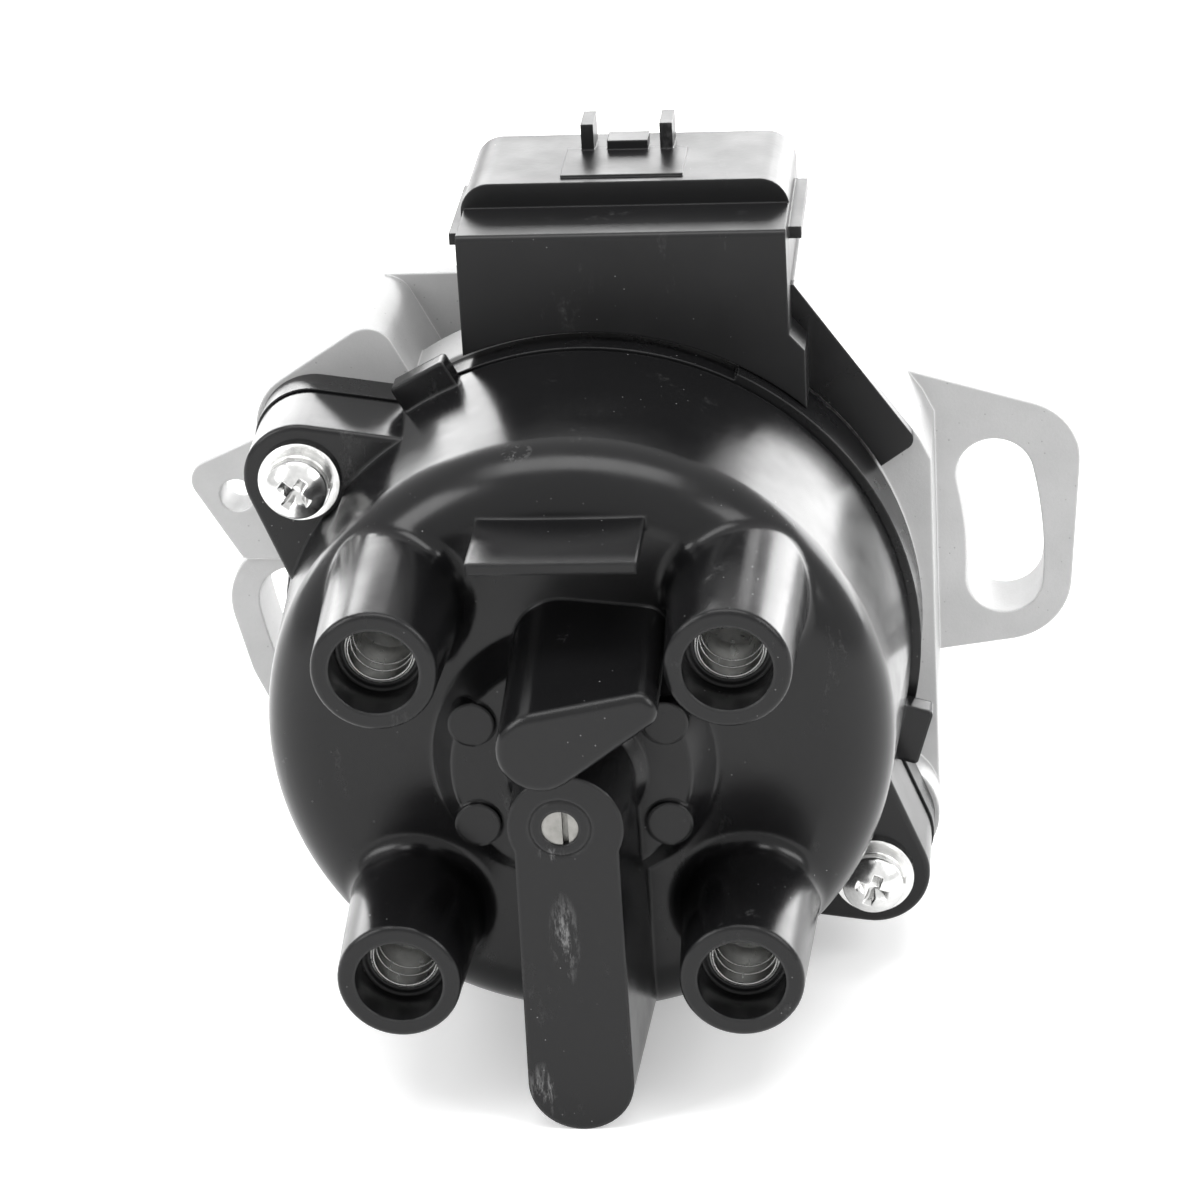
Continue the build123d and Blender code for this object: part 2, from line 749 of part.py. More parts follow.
with BuildPart() as carbon_brush:
    turn([
        (0, brush_back_at), (brush_radius - 0.6, brush_back_at), (brush_radius, brush_back_at + 0.6),
        (brush_radius, brush_front_at), (0, brush_front_at),
    ])
save(carbon_brush, "carbon_brush")

with BuildPart() as brush_spring:
    coil_radius = brush_radius - 2 * spring_wire_radius
    pitch = (spring_space - 2 * spring_wire_radius - 0.1) / spring_turns
    spring_start = brush_front_at + spring_wire_radius + 0.05
    with BuildLine():
        spiral = Helix(pitch, pitch * spring_turns, coil_radius, center=(0, -spring_start, 0), direction=(0, -1, 0))
    with BuildSketch(Plane(origin=spiral @ 0, z_dir=spiral % 0)):
        Circle(spring_wire_radius)
    sweep()
save(brush_spring, "brush_spring")

# Cap screws with their spring and flat washers
washer_front_at = ear_face_at + flat_washer_thickness
head_seat_at = washer_front_at + spring_washer_thickness
for number, place in enumerate(ear_places, 1):
    with BuildPart() as cap_screw:
        reach = head_seat_at - body_front_at + screw_depth - 1.0
        pan_screw(place, head_seat_at, reach, screw_radius - thread_clearance, screw_head_radius, screw_head_height)
    save(cap_screw, f"cap_screw_{number}")
    with BuildPart() as spring_washer:
        tube(spring_washer_radius, screw_radius + 0.2, washer_front_at, head_seat_at, place)
        block(place[0], place[0] + spring_washer_radius + 1, place[1] - spring_washer_gap / 2,
              place[1] + spring_washer_gap / 2, washer_front_at, head_seat_at, Mode.SUBTRACT)
    save(spring_washer, f"spring_washer_{number}")
    with BuildPart() as flat_washer:
        tube(flat_washer_radius, screw_radius + 0.2, ear_face_at, washer_front_at, place)
    save(flat_washer, f"flat_washer_{number}")

# Igniter case: block over the ring, ledge, and the connector's shroud facing back
shroud_left = case_left - 0.5
shroud_right = case_right
shroud_bottom = module_top + seat_gap

with BuildPart() as igniter_case:
    with BuildSketch(station(collar_at)):
        Polygon(
            (case_left, module_root), (case_left, ledge_top), (case_right, ledge_top),
            (case_right, module_top - case_step_drops[0]), (case_step_x, module_top - case_step_drops[1]),
            (case_step_x, module_root), align=None,
        )
        Circle(barrel_radius + arch_gap, mode=Mode.SUBTRACT)
    extrude(amount=case_front_at - collar_at)
    block(case_left, case_right, shroud_bottom, ledge_top, shroud_front_at, collar_at)
    fillet(edges().filter_by(Axis.X).sort_by(Axis.Y)[0:1], ledge_front_round)
    # Shroud, round-cornered above, with its socket
    with BuildSketch(station(shroud_back_at)):
        with Locations(((shroud_left + shroud_right) / 2, (shroud_bottom + shroud_top) / 2)):
            outline = Rectangle(shroud_right - shroud_left, shroud_top - shroud_bottom)
        fillet(outline.vertices().group_by(Axis.Y)[-1], shroud_round)
    extrude(amount=shroud_front_at - shroud_back_at)
    with BuildSketch(station(shroud_back_at)):
        with Locations(((shroud_left + shroud_right) / 2, (shroud_bottom + shroud_top) / 2)):
            RectangleRounded(shroud_right - shroud_left - 2 * shroud_wall,
                             shroud_top - shroud_bottom - 2 * shroud_wall, shroud_round - shroud_wall)
    extrude(amount=shroud_floor_at - shroud_back_at, mode=Mode.SUBTRACT)
    # Guide rails on both sides
    for inner, outer in ((shroud_right, shroud_right + rail_width), (shroud_left - rail_width + 0.5, shroud_left)):
        block(inner, outer, rail_top - rail_height, rail_top, rail_back_at, rail_front_at)
    # Panel, two prongs and the latch tooth on top
    block(prong_places[0] - panel_margin, prong_places[1] + panel_margin, shroud_top, shroud_top + panel_height,
          prong_front_at - 1.0, shroud_front_at - 2.0)
    for x in prong_places:
        block(x - prong_width / 2, x + prong_width / 2, shroud_top, shroud_top + prong_height,
              prong_front_at - prong_length, prong_front_at)
    block(latch_place - latch_width / 2, latch_place + latch_width / 2, shroud_top, shroud_top + latch_height,
          prong_front_at - latch_length, prong_front_at)
    # Screw holes from behind, and the seat of the sensor's ribbon
    for place in case_screw_places:
        rod(small_screw_radius, collar_at, collar_at + case_screw_depth, place, Mode.SUBTRACT)
save(igniter_case, "igniter_case")

# Plate under the igniter; its end shows beside the block, cut square to the sloping side
with BuildPart() as module_plate:
    end = down_slope(plate_end_drop)
    with BuildSketch(station(module_seat_at)):
        Polygon(
            (case_left + 1.0, module_root), (case_left + 1.0, module_top), (slope_at(module_top), module_top),
            end, down_slope(plate_end_drop, plate_end_width), (module_root, module_root), align=None,
        )
        corner = vertices().sort_by_distance(end)[0]
        fillet(corner, plate_corner_round)
        Circle(barrel_radius + plate_gap, mode=Mode.SUBTRACT)
    extrude(amount=collar_at - module_seat_at)
    for place in case_screw_places:
        rod(small_screw_radius + 0.2, module_seat_at, collar_at, place, Mode.SUBTRACT)
save(module_plate, "module_plate")

for number, place in enumerate(case_screw_places, 1):
    with BuildPart() as igniter_screw:
        reach = collar_at + case_screw_depth - 0.5 - module_back_at
        pan_screw(place, module_back_at, reach, small_screw_radius - thread_clearance, small_head_radius,
                  small_head_height, facing=-1)
    save(igniter_screw, f"igniter_screw_{number}")

# Connector pins: a row of separate blades standing on the socket's floor
with BuildPart() as connector_pins:
    pin_z = (shroud_bottom + shroud_top) / 2
    with BuildSketch(station(shroud_floor_at - pin_length)):
        with Locations(((shroud_left + shroud_right) / 2, pin_z)):
            with GridLocations(pin_spacing, 1, pin_count, 1):
                Rectangle(pin_width, pin_thickness)
    extrude(amount=pin_length)
save(connector_pins, "connector_pins")

# Ignition coil: potted winding with a laminated core round it, and its high-voltage tower
core_front_at = core_back_at + core_thickness
with BuildPart() as coil_core:
    block(-coil_half_width, coil_half_width, -coil_bottom, -coil_top, core_back_at, core_front_at)
    block(-coil_half_width + core_limb, coil_half_width - core_limb, -coil_bottom + core_limb, -coil_top - core_limb,
          core_back_at, core_front_at, Mode.SUBTRACT)
save(coil_core, "coil_core")

with BuildPart() as coil_case:
    block(-coil_half_width, coil_half_width, -coil_bottom, -coil_top, chamber_floor_at, coil_front_at)
    rod(coil_tower_radius, coil_front_at, coil_tower_front_at, (0, -coil_tower_drop))
    with BuildSketch(station(core_back_at)):
        with Locations((0, coil_screw_z)):
            Rectangle(2 * coil_half_width, coil_bottom - coil_top)
            Rectangle(2 * (coil_half_width - core_limb), coil_bottom - coil_top - 2 * core_limb, mode=Mode.SUBTRACT)
    extrude(amount=core_thickness, mode=Mode.SUBTRACT)
    for x in (-coil_screw_x, coil_screw_x):
        rod(small_screw_radius + 0.2, chamber_floor_at, coil_front_at, (x, coil_screw_z), Mode.SUBTRACT)
    rod(coil_contact_radius, coil_tower_front_at - coil_contact_depth, coil_tower_front_at, (0, -coil_tower_drop),
        Mode.SUBTRACT)
save(coil_case, "coil_case")

with BuildPart() as coil_contact:
    rod(coil_contact_radius, coil_tower_front_at - coil_contact_depth, coil_contact_front_at, (0, -coil_tower_drop))
save(coil_contact, "coil_contact")

for number, x in enumerate((-coil_screw_x, coil_screw_x), 1):
    with BuildPart() as coil_screw:
        pan_screw((x, coil_screw_z), coil_front_at, coil_front_at - inner_screw_back_at,
                  small_screw_radius - thread_clearance, small_head_radius, small_head_height)
    save(coil_screw, f"coil_screw_{number}")

# Optical sensor: straddles the signal disc's rim
disc_middle_at = signal_disc_at + signal_disc_thickness / 2
with BuildPart() as optical_sensor:
    block(-sensor_width / 2, sensor_width / 2, sensor_bottom, sensor_top, chamber_floor_at, sensor_front_at)
    block(-sensor_foot_width / 2, sensor_foot_width / 2, sensor_screw_z - sensor_foot_half_height,
          sensor_screw_z + sensor_foot_half_height, chamber_floor_at, chamber_floor_at + sensor_foot_thickness)
    block(-sensor_width / 2, sensor_width / 2, sensor_bottom, sensor_bottom + sensor_slot_depth,
          disc_middle_at - sensor_slot / 2, disc_middle_at + sensor_slot / 2, Mode.SUBTRACT)
    # Room for the signal disc's hub and the retaining ring
    rod(signal_hub_radius + 1.2, chamber_floor_at, sensor_front_at, mode=Mode.SUBTRACT)
    for x in (-1, 1):
        rod(small_screw_radius + 0.2, chamber_floor_at, chamber_floor_at + sensor_foot_thickness,
            (x * sensor_screw_x, sensor_screw_z), Mode.SUBTRACT)
save(optical_sensor, "optical_sensor")

for number, x in enumerate((-sensor_screw_x, sensor_screw_x), 1):
    with BuildPart() as sensor_screw:
        seat = chamber_floor_at + sensor_foot_thickness
        pan_screw((x, sensor_screw_z), seat, seat - inner_screw_back_at, small_screw_radius - thread_clearance,
                  2.9, small_head_height)
    save(sensor_screw, f"sensor_screw_{number}")

with BuildPart() as sensor_ribbon:
    ribbon_at = module_seat_at - 1.6
    block(-ribbon_width / 2, ribbon_width / 2, sensor_top, module_top - 1.2, ribbon_at, ribbon_at + ribbon_thickness)
save(sensor_ribbon, "sensor_ribbon")

# Dust shield between the sensor and the rotor
with BuildPart() as dust_shield:
    rod(chamber_radius + shield_lip - 0.1, body_front_at - shield_thickness, body_front_at)
    rod(shield_hole_radius, body_front_at - shield_thickness, body_front_at, mode=Mode.SUBTRACT)
    rod(coil_tower_radius + 0.3, body_front_at - shield_thickness, body_front_at, (0, -coil_tower_drop), Mode.SUBTRACT)
save(dust_shield, "dust_shield")

# Ball bearing: two grooved rings, balls and cage
groove_radius = ball_radius + ball_clearance
bearing_middle_at = bearing_back_at + bearing_width / 2


def grooved_ring(inner, outer):
    with BuildSketch(turning_plane) as section:
        with Locations(((inner + outer) / 2, bearing_middle_at)):
            Rectangle(outer - inner, bearing_width)
        with Locations((ball_circle, bearing_middle_at)):
            Circle(groove_radius, mode=Mode.SUBTRACT)
    revolve(section.sketch, axis=Axis.Y)


with BuildPart() as bearing_outer_ring:
    grooved_ring(bearing_outer_radius - race_wall, bearing_outer_radius)
save(bearing_outer_ring, "bearing_outer_ring")

with BuildPart() as bearing_inner_ring:
    grooved_ring(shaft_radius, shaft_radius + race_wall)
save(bearing_inner_ring, "bearing_inner_ring")

with BuildPart() as bearing_balls:
    with Locations(station(bearing_middle_at)):
        with PolarLocations(ball_circle, ball_count):
            Sphere(ball_radius)
save(bearing_balls, "bearing_balls")

with BuildPart() as bearing_cage:
    tube(ball_circle + cage_wall / 2, ball_circle - cage_wall / 2,
         bearing_middle_at - cage_width / 2, bearing_middle_at + cage_width / 2)
    for number in range(ball_count):
        x, z = on_circle(1.0, number * 360 / ball_count)
        with BuildSketch(Plane(origin=(0, -bearing_middle_at, 0), x_dir=(0, 1, 0), z_dir=(x, 0, z))):
            Circle(ball_radius + ball_clearance / 2)
        extrude(amount=ball_circle + cage_wall, mode=Mode.SUBTRACT)
save(bearing_cage, "bearing_cage")

with BuildPart() as oil_seal:
    turn([
        (shaft_radius + seal_lip_clearance, oil_seal_back_at + 3.0), (shaft_radius + 1.6, oil_seal_back_at),
        (oil_seal_radius, oil_seal_back_at), (oil_seal_radius, bearing_back_at - 0.5),
        (shaft_radius + 1.6, bearing_back_at - 0.5), (shaft_radius + 1.6, oil_seal_back_at + 4.0),
        (shaft_radius + seal_lip_clearance, oil_seal_back_at + 4.0),
    ])
save(oil_seal, "oil_seal")

with BuildPart() as rear_bush:
    tube(bush_radius, shaft_radius + running_clearance, -spigot_length, -spigot_length + bush_length)
save(rear_bush, "rear_bush")

with BuildPart() as spigot_ring:
    with BuildSketch(turning_plane):
        ring_middle = spigot_radius - ring_groove_depth + ring_section_radius + ring_seat_gap
        with Locations((ring_middle, ring_groove_at - ring_groove_width / 2)):
            Circle(ring_section_radius)
    revolve(axis=Axis.Y)
save(spigot_ring, "spigot_ring")

# Shaft, with the flat for the rotor and the hole for the coupling's pin
pin_at = -spigot_length - 2 * axial_play - thrust_washer_thickness - coupling_length / 2
shaft_back_at = coupling_back_at - shaft_tail
with BuildPart() as shaft:
    retaining_at = chamber_floor_at + 0.05
    turn([
        (0, shaft_back_at), (shaft_radius - 0.8, shaft_back_at), (shaft_radius, shaft_back_at + 0.8),
        (shaft_radius, retaining_at), (shaft_radius - retaining_groove_depth, retaining_at),
        (shaft_radius - retaining_groove_depth, retaining_at + retaining_ring_thickness),
        (shaft_radius, retaining_at + retaining_ring_thickness), (shaft_radius, shaft_front_at - 0.8),
        (shaft_radius - 0.8, shaft_front_at), (0, shaft_front_at),
    ])
    block(-shaft_radius, -shaft_radius + flat_depth, -shaft_radius, shaft_radius, flat_back_at, shaft_front_at,
          Mode.SUBTRACT)
    with BuildSketch(Plane.YZ.offset(-shaft_radius)):
        with Locations((-pin_at, 0)):
            Circle(coupling_pin_radius)
    extrude(amount=2 * shaft_radius, mode=Mode.SUBTRACT)
save(shaft, "shaft")

with BuildPart() as retaining_ring:
    tube(retaining_ring_radius, shaft_radius - retaining_groove_depth, retaining_at,
         retaining_at + retaining_ring_thickness)
    block(0, retaining_ring_radius + 1, -1.2, 1.2, retaining_at, retaining_at + retaining_ring_thickness, Mode.SUBTRACT)
save(retaining_ring, "retaining_ring")

# Signal disc on its hub, with windows for the sensor's light
with BuildPart() as signal_disc:
    hub_back_at = signal_disc_at - 4.0
    rod(signal_hub_radius, hub_back_at, hub_back_at + signal_hub_length)
    rod(signal_disc_radius, signal_disc_at, signal_disc_at + signal_disc_thickness)
    rod(shaft_radius, hub_back_at, hub_back_at + signal_hub_length, mode=Mode.SUBTRACT)
    window_circle = (signal_disc_radius + signal_hub_radius) / 2 + 1.0
    with BuildSketch(station(signal_disc_at)):
        with PolarLocations(window_circle, window_count, start_angle=45.0):
            Rectangle(window_width, window_width)
    extrude(amount=signal_disc_thickness, mode=Mode.SUBTRACT)
save(signal_disc, "signal_disc")

# Rotor: moulded hub, arm and counterweight, with the brass blade on its front face
with BuildPart() as rotor:
    rod(rotor_hub_radius, rotor_back_at, rotor_plate_at)
    rod(rotor_counter_radius, rotor_plate_at, rotor_front_at - 4.0)
    rod(rotor_hub_radius, rotor_plate_at, rotor_front_at)
    block(0, rotor_tip_radius - 3.0, -rotor_arm_width / 2, rotor_arm_width / 2, rotor_plate_at, rotor_front_at)
    with BuildSketch(station(rotor_back_at)):
        Circle(shaft_radius)
        with Locations((-shaft_radius, 0)):
            Rectangle(2 * flat_depth, 2 * shaft_radius, mode=Mode.SUBTRACT)
    extrude(amount=shaft_front_at - rotor_back_at, mode=Mode.SUBTRACT)
    rod(shaft_radius, rotor_back_at, flat_back_at, mode=Mode.SUBTRACT)
    with BuildSketch(Plane.YZ.offset(-rotor_hub_radius)):
        with Locations((-rotor_screw_at, 0)):
            Circle(small_screw_radius)
    extrude(amount=rotor_hub_radius - shaft_radius + flat_depth, mode=Mode.SUBTRACT)
    with BuildSketch(Plane.YZ.offset(-rotor_hub_radius)):
        with Locations((-rotor_screw_at, 0)):
            Circle(small_head_radius + 0.3)
    extrude(amount=rotor_screw_recess, mode=Mode.SUBTRACT)
save(rotor, "rotor")

with BuildPart() as rotor_contact:
    rod(contact_width / 2, rotor_front_at, contact_front_at)
    with BuildSketch(station(rotor_front_at)):
        with Locations((rotor_tip_radius / 2, 0)):
            Rectangle(rotor_tip_radius, contact_width)
        Circle(rotor_tip_radius, mode=Mode.INTERSECT)
    extrude(amount=contact_thickness)
save(rotor_contact, "rotor_contact")

with BuildPart() as rotor_screw:
    with BuildSketch(Plane.YZ.offset(-shaft_radius + flat_depth)):
        with Locations((-rotor_screw_at, 0)):
            Circle(small_screw_radius - thread_clearance)
    extrude(amount=-(rotor_hub_radius - rotor_screw_recess - shaft_radius + flat_depth))
    with BuildSketch(Plane.YZ.offset(-rotor_hub_radius + rotor_screw_recess)):
        with Locations((-rotor_screw_at, 0)):
            Circle(small_head_radius)
    extrude(amount=-small_head_height)
save(rotor_screw, "rotor_screw")

# Drive end: thrust washer, offset dog, pin and the spring ring that keeps the pin in
with BuildPart() as thrust_washer:
    tube(bush_radius + 2.0, shaft_radius + 0.05, -spigot_length - axial_play - thrust_washer_thickness,
         -spigot_length - axial_play)
save(thrust_washer, "thrust_washer")

with BuildPart() as drive_coupling:
    front = coupling_back_at + coupling_length
    turn([
        (shaft_radius, coupling_back_at), (coupling_radius - 0.8, coupling_back_at),
        (coupling_radius, coupling_back_at + 0.8), (coupling_radius, pin_at - spring_ring_wire),
        (coupling_radius - spring_ring_wire, pin_at - spring_ring_wire),
        (coupling_radius - spring_ring_wire, pin_at + spring_ring_wire),
        (coupling_radius, pin_at + spring_ring_wire), (coupling_radius, front), (shaft_radius, front),
    ])
    # Two dogs, both to one side of the centre so that the drive fits one way round
    with BuildSketch(station(coupling_back_at - dog_length)):
        with Locations((0, dog_offset)):
            Rectangle(2 * coupling_radius, dog_width)
        Circle(coupling_radius - 0.8, mode=Mode.INTERSECT)
        Circle(shaft_radius + 1.5, mode=Mode.SUBTRACT)
    extrude(amount=dog_length)
    with BuildSketch(Plane.YZ.offset(-coupling_radius)):
        with Locations((-pin_at, 0)):
            Circle(coupling_pin_radius)
    extrude(amount=2 * coupling_radius, mode=Mode.SUBTRACT)
save(drive_coupling, "drive_coupling")

with BuildPart() as coupling_pin:
    pin_reach = coupling_radius - spring_ring_wire - 0.05
    with BuildSketch(Plane.YZ.offset(-pin_reach)):
        with Locations((-pin_at, 0)):
            Circle(coupling_pin_radius - 0.02)
    extrude(amount=2 * pin_reach)
save(coupling_pin, "coupling_pin")

with BuildPart() as coupling_spring_ring:
    with BuildSketch(turning_plane):
        with Locations((coupling_radius + 0.05, pin_at)):
            Circle(spring_ring_wire - 0.05)
    revolve(axis=Axis.Y)
save(coupling_spring_ring, "coupling_spring_ring")
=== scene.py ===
"""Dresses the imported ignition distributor: finishes, screws, cup ridges, and the stage it is shown on.

The frame is in metres. The shaft lies along Y, the cap and its towers face -Y, and +Z is up.
"""

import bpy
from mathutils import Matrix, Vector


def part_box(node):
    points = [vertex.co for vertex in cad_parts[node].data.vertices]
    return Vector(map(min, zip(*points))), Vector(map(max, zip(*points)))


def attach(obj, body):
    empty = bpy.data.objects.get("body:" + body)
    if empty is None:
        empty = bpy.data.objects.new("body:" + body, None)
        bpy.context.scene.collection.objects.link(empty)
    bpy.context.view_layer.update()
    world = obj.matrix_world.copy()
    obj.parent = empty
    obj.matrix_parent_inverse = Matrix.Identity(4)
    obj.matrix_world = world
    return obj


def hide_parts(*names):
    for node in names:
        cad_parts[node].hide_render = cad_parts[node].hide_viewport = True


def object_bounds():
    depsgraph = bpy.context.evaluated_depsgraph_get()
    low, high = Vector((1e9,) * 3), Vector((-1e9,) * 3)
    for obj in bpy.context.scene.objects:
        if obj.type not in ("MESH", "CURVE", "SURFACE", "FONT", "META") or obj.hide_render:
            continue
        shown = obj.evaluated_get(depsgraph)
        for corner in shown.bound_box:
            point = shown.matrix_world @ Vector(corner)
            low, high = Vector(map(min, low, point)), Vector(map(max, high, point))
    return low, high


bl_info = {
    "name": "Ignition Distributor Dressing",
    "version": (1, 0, 0),
    "blender": (4, 5, 0),
    "location": "View3D > Sidebar > Distributor",
    "description": "Finishes and fastener detail for an ignition distributor",
    "category": "Object",
}

from math import cos, radians, sin

import bpy
from bpy.props import FloatProperty, FloatVectorProperty, IntProperty, PointerProperty
from mathutils import Matrix, Vector

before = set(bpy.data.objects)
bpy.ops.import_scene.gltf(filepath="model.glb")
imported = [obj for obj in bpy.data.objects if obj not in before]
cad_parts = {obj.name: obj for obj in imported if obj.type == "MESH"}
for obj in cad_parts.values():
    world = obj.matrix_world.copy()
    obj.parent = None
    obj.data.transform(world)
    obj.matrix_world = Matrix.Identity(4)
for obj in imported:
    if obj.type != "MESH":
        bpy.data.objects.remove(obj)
CAD_LOW, CAD_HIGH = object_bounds()
MM = 0.001
# Where handling has rubbed the cap pale: on the arm, at its foot, under the stud, and on the dome
CAP_RUBS = (
    ((-0.0003, -0.0985, -0.0168), (0.0022, 0.004, 0.0075)),
    ((-0.0043, -0.0985, -0.0400), (0.0028, 0.004, 0.0045)),
    ((-0.0014, -0.0985, -0.0036), (0.0020, 0.004, 0.0015)),
    ((-0.0062, -0.0710, 0.0428), (0.0024, 0.002, 0.0020)),
)
# Grey that marks, dust, rubs and pale edges take the black plastic towards; on the edges it is partly a
# painted sheen
PALE_WEAR_AND_SHEEN_GREY = (0.32, 0.32, 0.32)
# How far handling marks, dust and rubs take the black plastic towards that grey
MARK_SHARE = 0.30
DUST_SHARE = 0.6
RUB_SHARE = 0.5
# Pale colour of the casting's edges: partly bare worn metal, partly a painted highlight
BARE_METAL_AND_HIGHLIGHT = (0.95, 0.95, 0.95)
# The cap screws' recess: corner radii of one blade's square section, wide at the top, and that square's side
BLADE_TOP = 0.85
BLADE_FOOT = 0.45
BLADE_SIDE = 1.2
# Inner mouldings: the piece, its finish's name, the darker and lighter tones and the roughness
INNER_MOULDINGS = (
    ("rotor", "rotor_moulding", (0.13, 0.055, 0.025), (0.19, 0.085, 0.040), 0.38),
    ("coil_case", "potting_resin", (0.020, 0.019, 0.018), (0.045, 0.042, 0.038), 0.30),
    ("coil_core", "varnished_core", (0.10, 0.10, 0.10), (0.20, 0.20, 0.21), 0.45),
    ("optical_sensor", "sensor_moulding", (0.018, 0.018, 0.020), (0.035, 0.035, 0.038), 0.45),
    ("sensor_ribbon", "amber_film", (0.42, 0.20, 0.05), (0.60, 0.32, 0.10), 0.30),
    ("dust_shield", "shield_sheet", (0.025, 0.025, 0.025), (0.050, 0.050, 0.050), 0.50),
    ("carbon_brush", "brush_carbon", (0.015, 0.015, 0.015), (0.040, 0.040, 0.042), 0.60),
)
# Softboxes and panels of light: place, width and height in metres, and power in watts
LAMPS = {
    "left_softbox": ((-0.70, -0.50, 0.55), (0.35, 0.6), 4.5),
    "right_softbox": ((0.80, -0.45, 0.55), (0.40, 0.6), 4.5),
    "top_softbox": ((0.0, -0.15, 0.95), (0.9, 0.40), 6.0),
    "back_softbox": ((-0.10, 0.80, 0.33), (0.7, 0.28), 4.0),
    "right_panel": ((0.40, 0.52, 0.11), (0.62, 0.30), 4.2),
    "left_panel": ((-0.42, 0.50, 0.08), (0.32, 0.22), 1.0),
}
LAMP_TARGET = (0, -0.05, 0)
TURN_SEED = 7


class FinishSettings(bpy.types.PropertyGroup):
    cap_black: FloatVectorProperty(
        name="Cap Black", description="Colour of the glossy cap moulding",
        subtype="COLOR", size=3, min=0, max=1, default=(0.007, 0.007, 0.0074))
    case_black: FloatVectorProperty(
        name="Case Black", description="Colour of the igniter's fine-grained case",
        subtype="COLOR", size=3, min=0, max=1, default=(0.010, 0.010, 0.0104))
    casting_grey: FloatVectorProperty(
        name="Casting Grey", description="Colour of the blasted aluminium casting",
        subtype="COLOR", size=3, min=0, max=1, default=(0.50, 0.50, 0.50))
    zinc: FloatVectorProperty(
        name="Zinc", description="Colour of the plated screws and washers",
        subtype="COLOR", size=3, min=0, max=1, default=(0.86, 0.86, 0.85))
    steel: FloatVectorProperty(
        name="Steel", description="Colour of the ground steel shaft and drive pieces",
        subtype="COLOR", size=3, min=0, max=1, default=(0.56, 0.57, 0.58))
    brass: FloatVectorProperty(
        name="Brass", description="Colour of the inner contacts",
        subtype="COLOR", size=3, min=0, max=1, default=(0.78, 0.58, 0.28))
    scuff: FloatProperty(
        name="Scuffing", description="How much of the plastic is scuffed pale",
        subtype="FACTOR", min=0, max=1, default=0.5)


class ScrewSettings(bpy.types.PropertyGroup):
    head_radius: FloatProperty(
        name="Head Radius", description="Radius of the pan head",
        subtype="DISTANCE", min=0.001, max=0.02, default=0.0043)
    head_height: FloatProperty(
        name="Head Height", description="Height of the pan head above the spring washer",
        subtype="DISTANCE", min=0.001, max=0.02, default=0.0036)
    recess_length: FloatProperty(
        name="Recess Length", description="Length of the cross recess across the head",
        subtype="DISTANCE", min=0.001, max=0.02, default=0.0054)
    recess_width: FloatProperty(
        name="Recess Width", description="Width of one slot of the cross recess",
        subtype="DISTANCE", min=0.0002, max=0.01, default=0.0015)
    recess_depth: FloatProperty(
        name="Recess Depth", description="Depth of the cross recess",
        subtype="DISTANCE", min=0.0002, max=0.01, default=0.0026)
    shank_radius: FloatProperty(
        name="Shank Radius", description="Radius of the screw over its thread",
        subtype="DISTANCE", min=0.001, max=0.01, default=0.00245)
    thread_pitch: FloatProperty(
        name="Thread Pitch", description="Distance between the thread's turns",
        subtype="DISTANCE", min=0.0002, max=0.003, default=0.0008)
    thread_depth: FloatProperty(
        name="Thread Depth", description="Depth of the thread below the shank's surface",
        subtype="DISTANCE", min=0.0001, max=0.002, default=0.0004)


class CupSettings(bpy.types.PropertyGroup):
    ridge_count: IntProperty(
        name="Ridge Count", description="Ridges pressed into one tower's cup", min=0, max=20, default=2)
    ridge_pitch: FloatProperty(
        name="Ridge Pitch", description="Distance between the ridges along the cup",
        subtype="DISTANCE", min=0.0002, max=0.01, default=0.0021)
    ridge_section: FloatProperty(
        name="Ridge Section", description="Radius of one ridge's section",
        subtype="DISTANCE", min=0.0001, max=0.002, default=0.00015)
    lip_width: FloatProperty(
        name="Lip Width", description="Width of the rolled lip at the cup's mouth",
        subtype="DISTANCE", min=0.0001, max=0.002, default=0.0004)
    wall: FloatProperty(
        name="Wall", description="Thickness of the cup's wall",
        subtype="DISTANCE", min=0.0001, max=0.002, default=0.0005)


class StageSettings(bpy.types.PropertyGroup):
    azimuth: FloatProperty(
        name="Azimuth", description="Camera's turn about the vertical",
        subtype="ANGLE", default=radians(6.43))
    elevation: FloatProperty(
        name="Elevation", description="Camera's height above the horizon",
        subtype="ANGLE", default=radians(24.77))
    roll: FloatProperty(
        name="Roll", description="Camera's tilt about its own axis",
        subtype="ANGLE", default=radians(-3.38))
    distance: FloatProperty(
        name="Distance", description="From the camera to its target", subtype="DISTANCE", default=0.6585)
    target: FloatVectorProperty(
        name="Target", description="Point that the camera looks at",
        subtype="TRANSLATION", size=3, default=(0.00067, -0.041, 0.00662))
    lens: FloatProperty(
        name="Focal Length", description="Focal length on a 36 mm sensor, in millimetres",
        min=10, max=500, default=138.25)
    floor_white: FloatVectorProperty(
        name="Floor White", description="Colour of the seamless floor",
        subtype="COLOR", size=3, min=0, max=1, default=(0.93, 0.93, 0.93))
    floor_glow: FloatProperty(
        name="Floor Glow", description="White added to the floor where the camera or a reflection sees it",
        subtype="FACTOR", min=0, max=1, default=0.30)
    lamp_power: FloatProperty(
        name="Lamp Power", description="Scale of all the softboxes",
        subtype="FACTOR", min=0, max=4, default=1.0)
    world_level: FloatProperty(
        name="World Level", description="Strength of the white surroundings as fill light",
        subtype="FACTOR", min=0, max=1, default=0.55)


def feed(tree, socket, value):
    """Links a node's output into a socket, or sets a plain value on it."""
    if isinstance(value, bpy.types.NodeSocket):
        tree.links.new(value, socket)
    elif socket.type == "RGBA":
        socket.default_value = (*value, 1)
    else:
        socket.default_value = value


